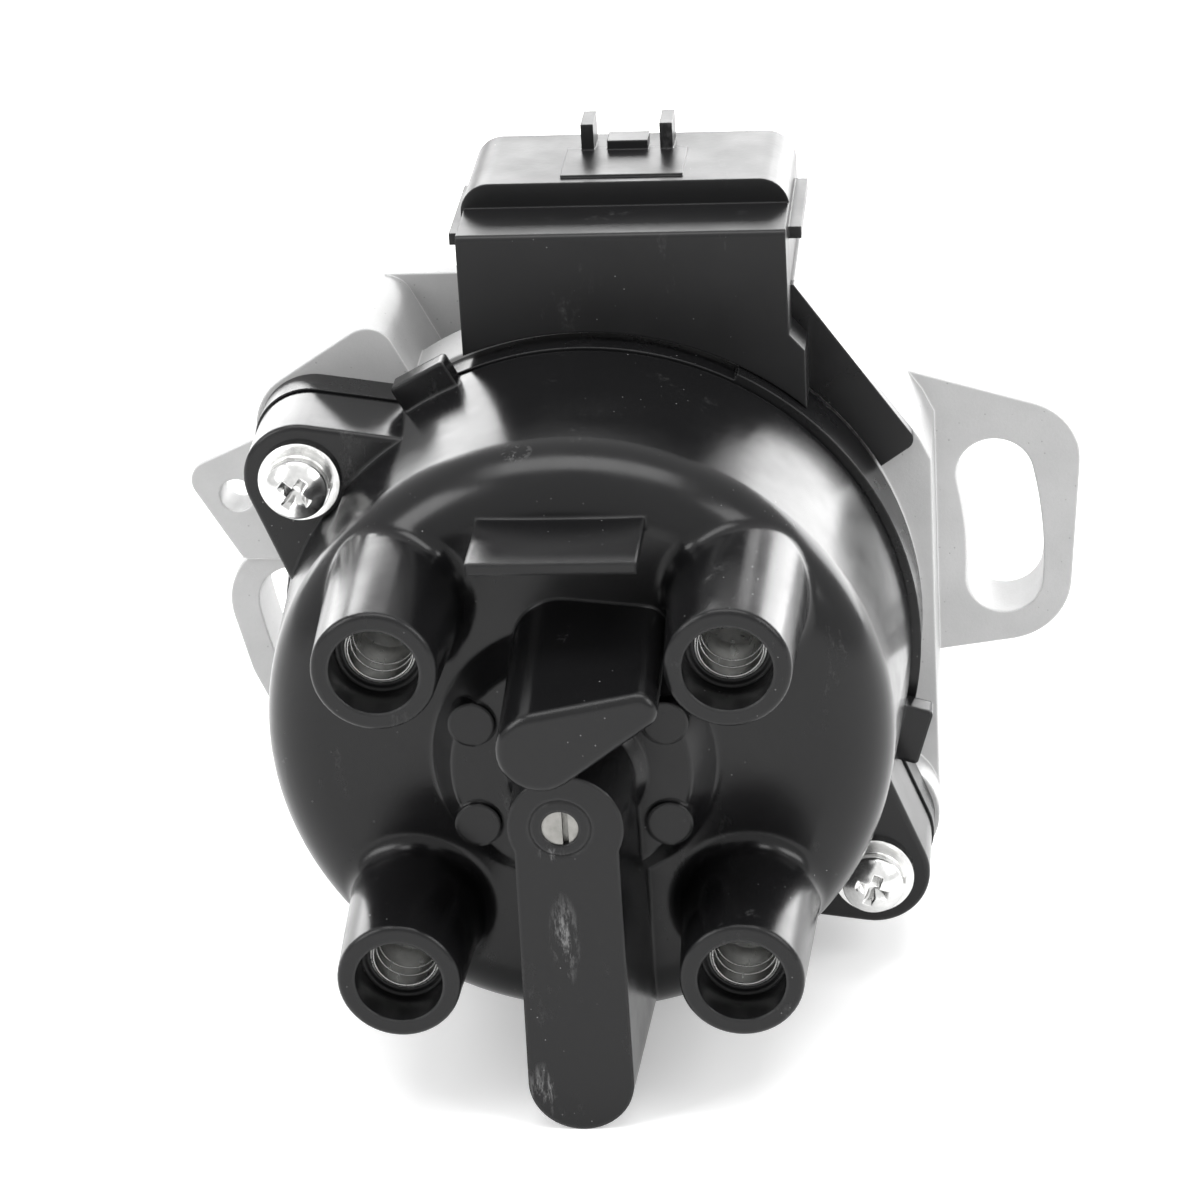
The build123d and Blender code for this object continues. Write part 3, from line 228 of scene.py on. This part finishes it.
class Finish:
    """A material under construction: its Principled shader and the nodes that feed it."""

    def __init__(self, name, sockets=None):
        self.material = bpy.data.materials.new(name)
        self.material.use_nodes = True
        self.tree = self.material.node_tree
        self.shader = self.tree.nodes["Principled BSDF"]
        self.place = self.tree.nodes.new("ShaderNodeTexCoord").outputs["Object"]
        for socket, value in (sockets or {}).items():
            self.set(socket, value)

    def set(self, socket, value):
        feed(self.tree, self.shader.inputs[socket], value)

    def node(self, kind, inputs=None, **settings):
        made = self.tree.nodes.new(kind)
        for key, value in settings.items():
            setattr(made, key, value)
        for key, value in (inputs or {}).items():
            feed(self.tree, made.inputs[key], value)
        return made

    def coordinates(self, scale=(1, 1, 1), shift=(0, 0, 0)):
        moved = self.node("ShaderNodeMapping", {"Vector": self.place, "Scale": scale, "Location": shift})
        return moved.outputs["Vector"]

    def noise(self, scale, detail=3, roughness=0.55, vector=None):
        return self.node("ShaderNodeTexNoise", {
            "Vector": vector or self.place, "Scale": scale, "Detail": detail, "Roughness": roughness,
        }).outputs["Fac"]

    def specks(self, scale, size):
        """Small round specks: 1 on a speck, 0 between them."""
        cells = self.node("ShaderNodeTexVoronoi", {"Vector": self.place, "Scale": scale})
        return self.remap(cells.outputs["Distance"], size, size * 0.6)

    def spot(self, place, reach):
        """1 at a place on the object, fading to 0 at its reach: (across, along, up) in metres."""
        scale = tuple(1 / r for r in reach)
        shift = tuple(-p / r for p, r in zip(place, reach))
        centred = self.coordinates(scale, shift)
        length = self.node("ShaderNodeVectorMath", {0: centred}, operation="LENGTH")
        return self.remap(length.outputs["Value"], 1.0, 0.3)

    def remap(self, value, low, high, to_low=0.0, to_high=1.0):
        return self.node("ShaderNodeMapRange", {
            "Value": value, "From Min": low, "From Max": high, "To Min": to_low, "To Max": to_high,
        }).outputs["Result"]

    def math(self, operation, *values):
        return self.node("ShaderNodeMath", dict(enumerate(values)), operation=operation).outputs[0]

    def blend(self, factor, first, second):
        """Colour between two colours."""
        return self.node("ShaderNodeMix", {0: factor, 6: first, 7: second}, data_type="RGBA").outputs[2]

    def between(self, factor, first, second):
        """Value between two values."""
        return self.node("ShaderNodeMix", {0: factor, 2: first, 3: second}).outputs[0]

    def rounded(self, radius):
        """Normal that rounds sharp edges off."""
        return self.node("ShaderNodeBevel", {"Radius": radius}, samples=6).outputs["Normal"]

    def edges(self, radius):
        """1 along sharp edges and 0 on flat faces."""
        normal = self.node("ShaderNodeNewGeometry").outputs["Normal"]
        facing = self.node(
            "ShaderNodeVectorMath", {0: self.rounded(radius), 1: normal}, operation="DOT_PRODUCT")
        return self.remap(facing.outputs["Value"], 0.995, 0.90)

    def bump(self, height, distance, strength=1.0, normal=None):
        inputs = {"Height": height, "Distance": distance, "Strength": strength}
        if normal:
            inputs["Normal"] = normal
        return self.node("ShaderNodeBump", inputs).outputs["Normal"]

    def axis(self, name):
        """One coordinate of the surface: X, Y or Z."""
        return self.node("ShaderNodeSeparateXYZ", {"Vector": self.place}).outputs[name]


def moulded_black(name, colour, roughness, grain, scuff, rubbed=(), edge_radius=0.35 * MM):
    """Moulded black plastic: fine grain, dust, pale edges that are partly worn and partly a painted sheen,
    and rubbed spots given as (place, reach).
    """
    plastic = Finish(name, {"Specular IOR Level": 0.28})
    cloudy = plastic.noise(90, 4, 0.6)
    fine = plastic.noise(1400, 2, 0.5)
    dusty = plastic.remap(plastic.noise(60, 2), 0.50, 0.60)
    dust = plastic.math("MULTIPLY", plastic.specks(620, 0.075), dusty)
    smear = plastic.noise(120, 6, 0.75, plastic.coordinates((1, 1, 0.35), (0.31, 0.07, 0.11)))
    marks = plastic.math(
        "MULTIPLY", plastic.remap(smear, 0.60, 0.72, 0, scuff), plastic.remap(fine, 0.35, 0.65))
    pale = plastic.math(
        "MAXIMUM", plastic.math("MULTIPLY", marks, MARK_SHARE), plastic.math("MULTIPLY", dust, DUST_SHARE))
    streaks = plastic.remap(plastic.noise(420, 5, 0.8, plastic.coordinates((1, 1, 0.22))), 0.50, 0.60)
    for place, reach in rubbed:
        rub = plastic.math("MULTIPLY", plastic.spot(place, reach), streaks)
        pale = plastic.math("MAXIMUM", pale, plastic.math("MULTIPLY", rub, RUB_SHARE))
    # Edges are made paler, partly as wear and partly as a painted sheen along them
    edge_wear_and_sheen_level = plastic.remap(cloudy, 0.4, 0.7, 0.02, 0.10)
    worn_and_sheen_edges = plastic.math("MULTIPLY", plastic.edges(edge_radius), edge_wear_and_sheen_level)
    plastic.set("Base Color", plastic.blend(plastic.math("MAXIMUM", pale, worn_and_sheen_edges), colour, PALE_WEAR_AND_SHEEN_GREY))
    base = plastic.remap(cloudy, 0.3, 0.7, roughness - 0.05, roughness + 0.06)
    plastic.set("Roughness", plastic.math("MAXIMUM", base, plastic.math("MULTIPLY", pale, 0.9)))
    plastic.set("Normal", plastic.bump(fine, grain, 1.0, plastic.rounded(edge_radius)))
    return plastic.material


def cast_aluminium(colour):
    """Blasted casting: pale and finely pitted, with turned rings on its mounting face and its spigot, and
    edges painted paler, partly as bare worn metal and partly as a painted highlight.
    """
    cast = Finish("blasted_aluminium", {"Metallic": 0.35})
    pale_dip = tuple(0.86 * c for c in colour)
    pit_grey = tuple(0.45 * c for c in colour)
    cloudy = cast.noise(55, 4, 0.6)
    grit = cast.noise(2600, 3, 0.7)
    pits = cast.specks(520, 0.09)
    turned = cast.remap(cast.axis("Y"), -0.00002, 0.00002)
    rings = cast.node("ShaderNodeTexWave", {
        "Vector": cast.place, "Scale": 900.0, "Distortion": 0.6, "Detail": 1.0, "Detail Scale": 2.0,
    }, wave_type="RINGS", rings_direction="Y").outputs["Fac"]
    tone = cast.blend(cast.remap(cloudy, 0.3, 0.7), pale_dip, colour)
    tone = cast.blend(cast.math("MULTIPLY", pits, 0.5), tone, pit_grey)
    # Edges go halfway to that pale colour: partly bare worn metal, partly a painted highlight
    tone = cast.blend(cast.math("MULTIPLY", cast.edges(0.4 * MM), 0.5), tone, BARE_METAL_AND_HIGHLIGHT)
    cast.set("Base Color", tone)
    cast.set("Roughness", cast.between(turned, cast.remap(grit, 0.3, 0.7, 0.50, 0.64), 0.28))
    relief = cast.between(turned, grit, cast.math("MULTIPLY", rings, 0.4))
    relief = cast.math("SUBTRACT", relief, cast.math("MULTIPLY", pits, 0.6))
    cast.set("Normal", cast.bump(relief, 0.035 * MM, 1.0, cast.rounded(0.5 * MM)))
    return cast.material


def plated(name, colour, roughness, turning_scale=None, relief_height=0.008 * MM):
    """Bright metal with faint handling blur, or with turning marks along Y where their scale is given."""
    metal = Finish(name, {"Metallic": 1.0})
    dulled = tuple(0.72 * c for c in colour)
    cloudy = metal.noise(300, 4, 0.6)
    streaks = metal.noise(900, 3, 0.6, metal.coordinates((1, 0.15, 1)))
    metal.set("Base Color", metal.blend(metal.remap(cloudy, 0.35, 0.7), colour, dulled))
    metal.set("Roughness", metal.remap(streaks, 0.3, 0.7, roughness * 0.8, roughness * 1.4))
    relief = streaks
    if turning_scale:
        relief = metal.node("ShaderNodeTexWave", {
            "Vector": metal.place, "Scale": turning_scale, "Distortion": 0.4, "Detail": 1.0,
        }, wave_type="BANDS", bands_direction="Y").outputs["Fac"]
    metal.set("Normal", metal.bump(relief, relief_height, 0.7, metal.rounded(0.15 * MM)))
    return metal.material


def soft_rubber():
    """Black rubber with a pale bloom."""
    rubber = Finish("seal_rubber", {"Roughness": 0.55, "Specular IOR Level": 0.4})
    bloom = rubber.remap(rubber.noise(240, 4, 0.6), 0.4, 0.75)
    rubber.set("Base Color", rubber.blend(bloom, (0.012, 0.012, 0.012), (0.030, 0.029, 0.028)))
    rubber.set("Normal", rubber.bump(rubber.noise(1800, 2), 0.01 * MM))
    return rubber.material


def moulded_colour(name, dark, light, roughness):
    """Coloured moulding, film or potting with a mottled tone."""
    moulding = Finish(name, {"Roughness": roughness})
    mottle = moulding.remap(moulding.noise(180, 5, 0.6), 0.35, 0.65)
    moulding.set("Base Color", moulding.blend(mottle, dark, light))
    grain = moulding.noise(1600, 2)
    moulding.set("Normal", moulding.bump(grain, 0.012 * MM, 1.0, moulding.rounded(0.2 * MM)))
    return moulding.material


def wear(material, *nodes):
    """Gives CAD nodes a finish."""
    for name in nodes:
        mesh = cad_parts[name].data
        mesh.materials.clear()
        mesh.materials.append(material)


def numbered(stem):
    """Names of the CAD nodes that repeat with a number."""
    return sorted(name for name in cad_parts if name.rsplit("_", 1)[0] == stem)


class DISTRIBUTOR_OT_finish_cap(bpy.types.Operator):
    """Glossy black on the cap, satin black on the ring below it and rubber on the seal"""
    bl_idname = "distributor.finish_cap"
    bl_label = "Finish Cap"

    def execute(self, context):
        settings = context.scene.distributor_finish
        cap_finish = moulded_black(
            "cap_moulding", settings.cap_black, roughness=0.20, grain=0.003 * MM,
            scuff=settings.scuff, rubbed=CAP_RUBS, edge_radius=0.75 * MM)
        ring_finish = moulded_black(
            "ring_moulding", settings.cap_black, roughness=0.27, grain=0.004 * MM,
            scuff=0.3 * settings.scuff)
        wear(cap_finish, "cap")
        wear(ring_finish, "base_ring", "module_plate")
        wear(soft_rubber(), "cap_seal", "spigot_ring", "oil_seal")
        return {"FINISHED"}


class DISTRIBUTOR_OT_finish_igniter(bpy.types.Operator):
    """Fine-grained black on the igniter's case, and tinned connector pins"""
    bl_idname = "distributor.finish_igniter"
    bl_label = "Finish Igniter"

    def execute(self, context):
        settings = context.scene.distributor_finish
        case_finish = moulded_black(
            "case_moulding", settings.case_black, roughness=0.33, grain=0.008 * MM,
            scuff=0.8 * settings.scuff)
        wear(case_finish, "igniter_case")
        wear(plated("tinned_pins", (0.80, 0.80, 0.78), 0.22), "connector_pins")
        return {"FINISHED"}


class DISTRIBUTOR_OT_finish_housing(bpy.types.Operator):
    """Blasted aluminium on the housing"""
    bl_idname = "distributor.finish_housing"
    bl_label = "Finish Housing"

    def execute(self, context):
        wear(cast_aluminium(tuple(context.scene.distributor_finish.casting_grey)), "housing")
        return {"FINISHED"}


class DISTRIBUTOR_OT_finish_terminals(bpy.types.Operator):
    """Bright metal on the tower cups and the centre stud, brass on the conductor and contacts"""
    bl_idname = "distributor.finish_terminals"
    bl_label = "Finish Terminals"

    def execute(self, context):
        brass = tuple(context.scene.distributor_finish.brass)
        cup_finish = plated("tower_cups", (0.62, 0.62, 0.61), 0.30, relief_height=0.003 * MM)
        wear(cup_finish, *numbered("tower_terminal"))
        wear(plated("tinned_stud", (0.30, 0.295, 0.28), 0.46), "centre_stud")
        wear(plated("contact_brass", brass, 0.25),
             "arm_conductor", "coil_contact", "rotor_contact", "bearing_cage")
        return {"FINISHED"}


class DISTRIBUTOR_OT_finish_drive(bpy.types.Operator):
    """Ground steel, blued steel and bronze on the shaft, its bearings and its drive"""
    bl_idname = "distributor.finish_drive"
    bl_label = "Finish Drive"

    def execute(self, context):
        steel = tuple(context.scene.distributor_finish.steel)
        wear(plated("ground_steel", steel, 0.26, turning_scale=1500.0),
             "shaft", "drive_coupling", "coupling_pin", "bearing_outer_ring", "bearing_inner_ring")
        wear(plated("ball_steel", (0.66, 0.67, 0.68), 0.08), "bearing_balls")
        wear(plated("blued_steel", (0.17, 0.18, 0.21), 0.34), "retaining_ring", "thrust_washer",
             "coupling_spring_ring", "signal_disc", "brush_spring")
        wear(plated("oiled_bronze", (0.50, 0.36, 0.20), 0.42), "rear_bush")
        return {"FINISHED"}


class DISTRIBUTOR_OT_finish_inside(bpy.types.Operator):
    """Mouldings, potting, laminations and film of the pieces inside the cap and the housing"""
    bl_idname = "distributor.finish_inside"
    bl_label = "Finish Inside"

    def execute(self, context):
        zinc = tuple(context.scene.distributor_finish.zinc)
        for piece, finish, dark, light, roughness in INNER_MOULDINGS:
            wear(moulded_colour(finish, dark, light, roughness), piece)
        wear(plated("inner_zinc", zinc, 0.25), "rotor_screw", *numbered("igniter_screw"),
             *numbered("coil_screw"), *numbered("sensor_screw"))
        return {"FINISHED"}


class DISTRIBUTOR_OT_finish_washers(bpy.types.Operator):
    """Bright zinc on the spring washers and flat washers under the cap screws"""
    bl_idname = "distributor.finish_washers"
    bl_label = "Finish Washers"

    def execute(self, context):
        zinc = tuple(context.scene.distributor_finish.zinc)
        wear(plated("bright_zinc", zinc, 0.20), *numbered("flat_washer"), *numbered("spring_washer"))
        return {"FINISHED"}


class NodeTree:
    """A geometry node tree that takes named sizes, makes one copied shape and gives it a material."""

    def __init__(self, name, material, sizes):
        self.sizes = sizes
        self.tree = bpy.data.node_groups.new(name, "GeometryNodeTree")
        face = self.tree.interface
        face.new_socket("Places", in_out="INPUT", socket_type="NodeSocketGeometry")
        self.keys = {}
        for size, value in sizes.items():
            kind = "NodeSocketInt" if isinstance(value, int) else "NodeSocketFloat"
            self.keys[size] = face.new_socket(size, in_out="INPUT", socket_type=kind).identifier
        face.new_socket("Mesh", in_out="OUTPUT", socket_type="NodeSocketGeometry")
        self.inputs = self.tree.nodes.new("NodeGroupInput").outputs
        self.output = self.tree.nodes.new("NodeGroupOutput")
        self.material = material

    def add(self, kind, inputs=None, out=0, **settings):
        """Adds a node, with its inputs given by index or name, and returns one of its outputs."""
        made = self.tree.nodes.new(kind)
        for key, value in settings.items():
            setattr(made, key, value)
        for key, value in (inputs or {}).items():
            for source in value if isinstance(value, list) else [value]:
                feed(self.tree, made.inputs[key], source)
        return made.outputs[out]

    def math(self, operation, *values):
        return self.add("ShaderNodeMath", dict(enumerate(values)), operation=operation)

    def vector(self, x=0.0, y=0.0, z=0.0):
        return self.add("ShaderNodeCombineXYZ", {0: x, 1: y, 2: z})

    def moved(self, shape, offset=None, turn=(0, 0, 0), scale=(1, 1, 1)):
        inputs = {"Geometry": shape, "Rotation": turn, "Scale": scale}
        if offset is not None:
            inputs["Translation"] = offset
        return self.add("GeometryNodeTransform", inputs)

    def ring(self, radius, section):
        """Round ring about Z."""
        circle = self.add("GeometryNodeCurvePrimitiveCircle", {"Resolution": 64, "Radius": radius})
        profile = self.add("GeometryNodeCurvePrimitiveCircle", {"Resolution": 10, "Radius": section})
        return self.add("GeometryNodeCurveToMesh", {"Curve": circle, "Profile Curve": profile})

    def copy_onto(self, shape, turns):
        """Puts a copy of the shape on every place, facing forward, each turned by its own seeded amount."""
        spin = self.add("FunctionNodeRandomValue", {2: 0.0, 3: turns, "Seed": TURN_SEED},
                        out=1, data_type="FLOAT")
        facing = self.add("ShaderNodeCombineXYZ", {0: radians(90), 1: spin, 2: 0.0})
        copies = self.add("GeometryNodeInstanceOnPoints", {
            "Points": self.inputs["Places"], "Instance": shape, "Rotation": facing,
        })
        plain = self.add("GeometryNodeRealizeInstances", {"Geometry": copies})
        smooth = self.add("GeometryNodeSetShadeSmooth", {"Geometry": plain})
        done = self.add("GeometryNodeSetMaterial", {"Geometry": smooth, "Material": self.material})
        self.tree.links.new(done, self.output.inputs["Mesh"])

    def make(self, name, places):
        """Runs the tree on places and returns a plain mesh object."""
        points = bpy.data.meshes.new(name + "_places")
        points.from_pydata(places, [], [])
        maker = bpy.data.objects.new(name + "_maker", points)
        bpy.context.scene.collection.objects.link(maker)
        modifier = maker.modifiers.new("Copies", "NODES")
        modifier.node_group = self.tree
        for size, value in self.sizes.items():
            modifier[self.keys[size]] = value
        mesh = bpy.data.meshes.new_from_object(maker.evaluated_get(bpy.context.evaluated_depsgraph_get()))
        maker.modifiers.remove(modifier)
        bpy.data.objects.remove(maker)
        if not mesh.polygons:
            raise RuntimeError(f"{name}: the node tree made nothing")
        mesh.name = name
        piece = bpy.data.objects.new(name, mesh)
        bpy.context.scene.collection.objects.link(piece)
        return piece


class DISTRIBUTOR_OT_drive_screws(bpy.types.Operator):
    """Cap screws with a pan head, a tapered cross recess and a cut thread"""
    bl_idname = "distributor.drive_screws"
    bl_label = "Drive Cap Screws"

    def execute(self, context):
        settings = context.scene.distributor_screws
        zinc = plated("screw_zinc", tuple(context.scene.distributor_finish.zinc), 0.17)
        names = numbered("cap_screw")
        seats = []
        for name in names:
            low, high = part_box(name)
            seats.append(((low.x + high.x) / 2, low.y + settings.head_height, (low.z + high.z) / 2))
        low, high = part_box(names[0])
        tree = self.screw_tree(settings, zinc, high.y - seats[0][1])
        piece = tree.make("cap_screws", seats)
        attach(piece, "body")
        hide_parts(*names)
        return {"FINISHED"}

    def screw_tree(self, settings, material, length):
        tree = NodeTree("cap_screw_nodes", material, {
            "Head Radius": settings.head_radius, "Head Height": settings.head_height,
            "Recess Length": settings.recess_length, "Recess Width": settings.recess_width,
            "Recess Depth": settings.recess_depth, "Thread Pitch": settings.thread_pitch,
            "Thread Depth": settings.thread_depth, "Shank Radius": settings.shank_radius,
            "Shank Length": length,
        })
        size = tree.inputs
        head = self.pan_head(tree, size)
        blades = [self.blade(tree, size, turn) for turn in (0.0, radians(90))]
        cutter = tree.add("GeometryNodeMeshBoolean", {"Mesh 2": blades}, operation="UNION", solver="EXACT")
        cut = tree.add("GeometryNodeMeshBoolean", {"Mesh 1": head, "Mesh 2": cutter},
                       operation="DIFFERENCE", solver="EXACT")
        whole = tree.add("GeometryNodeJoinGeometry", {0: [cut, *self.shank(tree, size)]})
        tree.copy_onto(whole, radians(50))
        return tree

    def pan_head(self, tree, size):
        """Cylinder that a sphere of 1.3 times its radius rounds off on top."""
        height = size["Head Height"]
        radius = size["Head Radius"]
        body = tree.add("GeometryNodeMeshCylinder", {"Vertices": 96, "Radius": radius, "Depth": height})
        body = tree.moved(body, tree.vector(z=tree.math("MULTIPLY", height, 0.5)))
        ball_radius = tree.math("MULTIPLY", radius, 1.3)
        ball = tree.add("GeometryNodeMeshUVSphere", {"Segments": 96, "Rings": 64, "Radius": ball_radius})
        ball = tree.moved(ball, tree.vector(z=tree.math("SUBTRACT", height, ball_radius)))
        return tree.add("GeometryNodeMeshBoolean", {"Mesh 2": [body, ball]},
                        operation="INTERSECT", solver="EXACT")

    def blade(self, tree, size, turn):
        """One tapered blade of the cross: wide at the head's top and narrow at its foot."""
        depth = size["Recess Depth"]
        cone = tree.add("GeometryNodeMeshCone", {
            "Vertices": 4, "Radius Top": BLADE_TOP, "Radius Bottom": BLADE_FOOT, "Depth": depth,
        })
        cone = tree.moved(cone, turn=(0, 0, radians(45)))
        wide = tree.math("DIVIDE", size["Recess Length"], BLADE_SIDE)
        thin = tree.math("DIVIDE", size["Recess Width"], BLADE_SIDE)
        cone = tree.moved(cone, scale=tree.vector(wide, thin, 1.0))
        lift = tree.math("SUBTRACT", size["Head Height"], depth)
        # The blade stands just out of the head, so that it cuts the top cleanly
        lift = tree.math("ADD", lift, 0.02 * MM)
        return tree.moved(cone, tree.vector(z=lift), turn=(0, 0, turn))

    def shank(self, tree, size):
        """Core below the head, and the thread that winds round it."""
        length = size["Shank Length"]
        core_radius = tree.math("SUBTRACT", size["Shank Radius"], size["Thread Depth"])
        core = tree.add("GeometryNodeMeshCylinder", {"Vertices": 48, "Radius": core_radius, "Depth": length})
        core = tree.moved(core, tree.vector(z=tree.math("MULTIPLY", length, -0.5)))
        turns = tree.math("DIVIDE", length, size["Thread Pitch"])
        spiral = tree.add("GeometryNodeCurveSpiral", {
            "Resolution": 32, "Rotations": turns, "Start Radius": core_radius, "End Radius": core_radius,
            "Height": length,
        })
        ridge = tree.add(
            "GeometryNodeCurvePrimitiveCircle", {"Resolution": 4, "Radius": size["Thread Depth"]})
        thread = tree.add(
            "GeometryNodeCurveToMesh", {"Curve": spiral, "Profile Curve": ridge, "Fill Caps": True})
        return core, tree.moved(thread, tree.vector(z=tree.math("MULTIPLY", length, -1.0)))


class DISTRIBUTOR_OT_press_cups(bpy.types.Operator):
    """Rolled lip and pressed ridges inside the cups of the four towers"""
    bl_idname = "distributor.press_cups"
    bl_label = "Press Cups"

    def execute(self, context):
        settings = context.scene.distributor_cups
        names = numbered("tower_terminal")
        mouths = []
        for name in names:
            low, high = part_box(name)
            mouths.append(((low.x + high.x) / 2, low.y, (low.z + high.z) / 2))
        inner = (high.x - low.x) / 2 - settings.wall
        pressed = plated("cup_ridges", (0.48, 0.48, 0.47), 0.26, relief_height=0.002 * MM)
        tree = NodeTree("cup_ridge_nodes", pressed, {
            "Cup Radius": inner, "Ridge Count": settings.ridge_count, "Ridge Pitch": settings.ridge_pitch,
            "Ridge Section": settings.ridge_section, "Lip Width": settings.lip_width,
        })
        size = tree.inputs
        ridge = tree.ring(size["Cup Radius"], size["Ridge Section"])
        step = tree.vector(z=tree.math("MULTIPLY", size["Ridge Pitch"], -1.0))
        # The first ridge lies 1.2 pitches inside the mouth
        first = tree.vector(z=tree.math("MULTIPLY", size["Ridge Pitch"], -1.2))
        line = tree.add(
            "GeometryNodeMeshLine", {"Count": size["Ridge Count"], "Start Location": first, "Offset": step})
        ridges = tree.add("GeometryNodeInstanceOnPoints", {"Points": line, "Instance": ridge})
        lip_radius = tree.math("ADD", size["Cup Radius"], 0.1 * MM)
        lip = tree.ring(lip_radius, tree.math("MULTIPLY", size["Lip Width"], 0.5))
        tree.copy_onto(tree.add("GeometryNodeJoinGeometry", {0: [ridges, lip]}), 0.0)
        piece = tree.make("cup_ridges", mouths)
        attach(piece, "body")
        return {"FINISHED"}


def softbox(name, place, size, power):
    """Rectangle of light that faces the object."""
    lamp = bpy.data.lights.new(name, "AREA")
    lamp.shape = "RECTANGLE"
    lamp.size, lamp.size_y = size
    lamp.energy = power
    box = bpy.data.objects.new(name, lamp)
    box.location = place
    box.rotation_euler = (Vector(LAMP_TARGET) - Vector(place)).to_track_quat("-Z", "Y").to_euler()
    bpy.context.scene.collection.objects.link(box)


def white_to_eye(tree, rays):
    """1 for what is seen directly, in a reflection or through glass, and 0 for light that spreads."""
    seen = rays.outputs["Is Camera Ray"]
    for output in ("Is Glossy Ray", "Is Transmission Ray"):
        either = tree.nodes.new("ShaderNodeMath")
        either.operation = "MAXIMUM"
        tree.links.new(seen, either.inputs[0])
        tree.links.new(rays.outputs[output], either.inputs[1])
        seen = either.outputs[0]
    return seen


def seamless_white(colour, glow_level):
    """White floor that keeps the shadow, and shows clean white to the camera and in reflections."""
    white = bpy.data.materials.new("seamless_white")
    white.use_nodes = True
    tree = white.node_tree
    tree.nodes.clear()
    output = tree.nodes.new("ShaderNodeOutputMaterial")
    diffuse = tree.nodes.new("ShaderNodeBsdfDiffuse")
    diffuse.inputs["Color"].default_value = (*colour, 1)
    glow = tree.nodes.new("ShaderNodeEmission")
    glow.inputs["Color"].default_value = (1, 1, 1, 1)
    rays = tree.nodes.new("ShaderNodeLightPath")
    seen = tree.nodes.new("ShaderNodeMath")
    seen.operation = "MULTIPLY"
    seen.inputs[1].default_value = glow_level
    tree.links.new(white_to_eye(tree, rays), seen.inputs[0])
    tree.links.new(seen.outputs[0], glow.inputs["Strength"])
    both = tree.nodes.new("ShaderNodeAddShader")
    tree.links.new(diffuse.outputs[0], both.inputs[0])
    tree.links.new(glow.outputs[0], both.inputs[1])
    tree.links.new(both.outputs[0], output.inputs["Surface"])
    return white


class DISTRIBUTOR_OT_set_stage(bpy.types.Operator):
    """White floor, softboxes and the camera of the product shot"""
    bl_idname = "distributor.set_stage"
    bl_label = "Set Stage"

    def execute(self, context):
        settings = context.scene.distributor_stage
        self.lay_floor(settings)
        self.light_world(context.scene, settings)
        self.hang_lamps(settings.lamp_power)
        self.place_camera(context.scene, settings)
        context.scene.view_settings.view_transform = "Standard"
        return {"FINISHED"}

    def lay_floor(self, settings):
        reach = 3.0
        level = CAD_LOW.z
        mesh = bpy.data.meshes.new("floor")
        corners = [(x * reach, y * reach, level) for x, y in ((-1, -1), (1, -1), (1, 1), (-1, 1))]
        mesh.from_pydata(corners, [], [(0, 1, 2, 3)])
        mesh.materials.append(seamless_white(settings.floor_white, settings.floor_glow))
        floor = bpy.data.objects.new("floor", mesh)
        bpy.context.scene.collection.objects.link(floor)

    def light_world(self, scene, settings):
        world = bpy.data.worlds.new("studio")
        world.use_nodes = True
        scene.world = world
        tree = world.node_tree
        background = tree.nodes["Background"]
        background.inputs["Color"].default_value = (1, 1, 1, 1)
        rays = tree.nodes.new("ShaderNodeLightPath")
        strength = tree.nodes.new("ShaderNodeMapRange")
        strength.inputs["To Min"].default_value = settings.world_level
        strength.inputs["To Max"].default_value = 1.0
        tree.links.new(white_to_eye(tree, rays), strength.inputs["Value"])
        tree.links.new(strength.outputs["Result"], background.inputs["Strength"])

    def hang_lamps(self, power_scale):
        for name, (place, size, power) in LAMPS.items():
            softbox(name, place, size, power * power_scale)

    def place_camera(self, scene, settings):
        camera = bpy.data.cameras.new("camera")
        camera.lens = settings.lens
        camera.sensor_width = 36
        holder = bpy.data.objects.new("camera", camera)
        scene.collection.objects.link(holder)
        turn, rise, roll = settings.azimuth, settings.elevation, settings.roll
        back = Vector((sin(turn) * cos(rise), -cos(turn) * cos(rise), sin(rise)))
        right = Vector((cos(turn), sin(turn), 0))
        up = back.cross(right)
        tilted_right = cos(roll) * right + sin(roll) * up
        tilted_up = cos(roll) * up - sin(roll) * right
        axes = Matrix((tilted_right, tilted_up, back)).transposed()
        eye = Vector(settings.target) + back * settings.distance
        holder.matrix_world = Matrix.Translation(eye) @ axes.to_4x4()
        camera.clip_start = 0.01
        scene.camera = holder


class DISTRIBUTOR_PT_panel(bpy.types.Panel):
    """Lists the steps that dress the distributor"""
    bl_idname = "DISTRIBUTOR_PT_panel"
    bl_label = "Distributor"
    bl_space_type = "VIEW_3D"
    bl_region_type = "UI"
    bl_category = "Distributor"

    def draw(self, context):
        for step in OPERATORS:
            self.layout.operator(step.bl_idname)


OPERATORS = (
    DISTRIBUTOR_OT_finish_cap,
    DISTRIBUTOR_OT_finish_igniter,
    DISTRIBUTOR_OT_finish_housing,
    DISTRIBUTOR_OT_finish_terminals,
    DISTRIBUTOR_OT_finish_drive,
    DISTRIBUTOR_OT_finish_inside,
    DISTRIBUTOR_OT_finish_washers,
    DISTRIBUTOR_OT_drive_screws,
    DISTRIBUTOR_OT_press_cups,
    DISTRIBUTOR_OT_set_stage,
)
SETTINGS = {
    "distributor_finish": FinishSettings,
    "distributor_screws": ScrewSettings,
    "distributor_cups": CupSettings,
    "distributor_stage": StageSettings,
}


def register():
    for group in SETTINGS.values():
        bpy.utils.register_class(group)
    for step in (*OPERATORS, DISTRIBUTOR_PT_panel):
        bpy.utils.register_class(step)
    for name, group in SETTINGS.items():
        setattr(bpy.types.Scene, name, PointerProperty(type=group))


def unregister():
    for name in SETTINGS:
        delattr(bpy.types.Scene, name)
    for step in (*OPERATORS, DISTRIBUTOR_PT_panel, *SETTINGS.values()):
        bpy.utils.unregister_class(step)


def main():
    register()
    for step in OPERATORS:
        group, name = step.bl_idname.split(".")
        getattr(getattr(bpy.ops, group), name)()


if __name__ == "__main__":
    main()
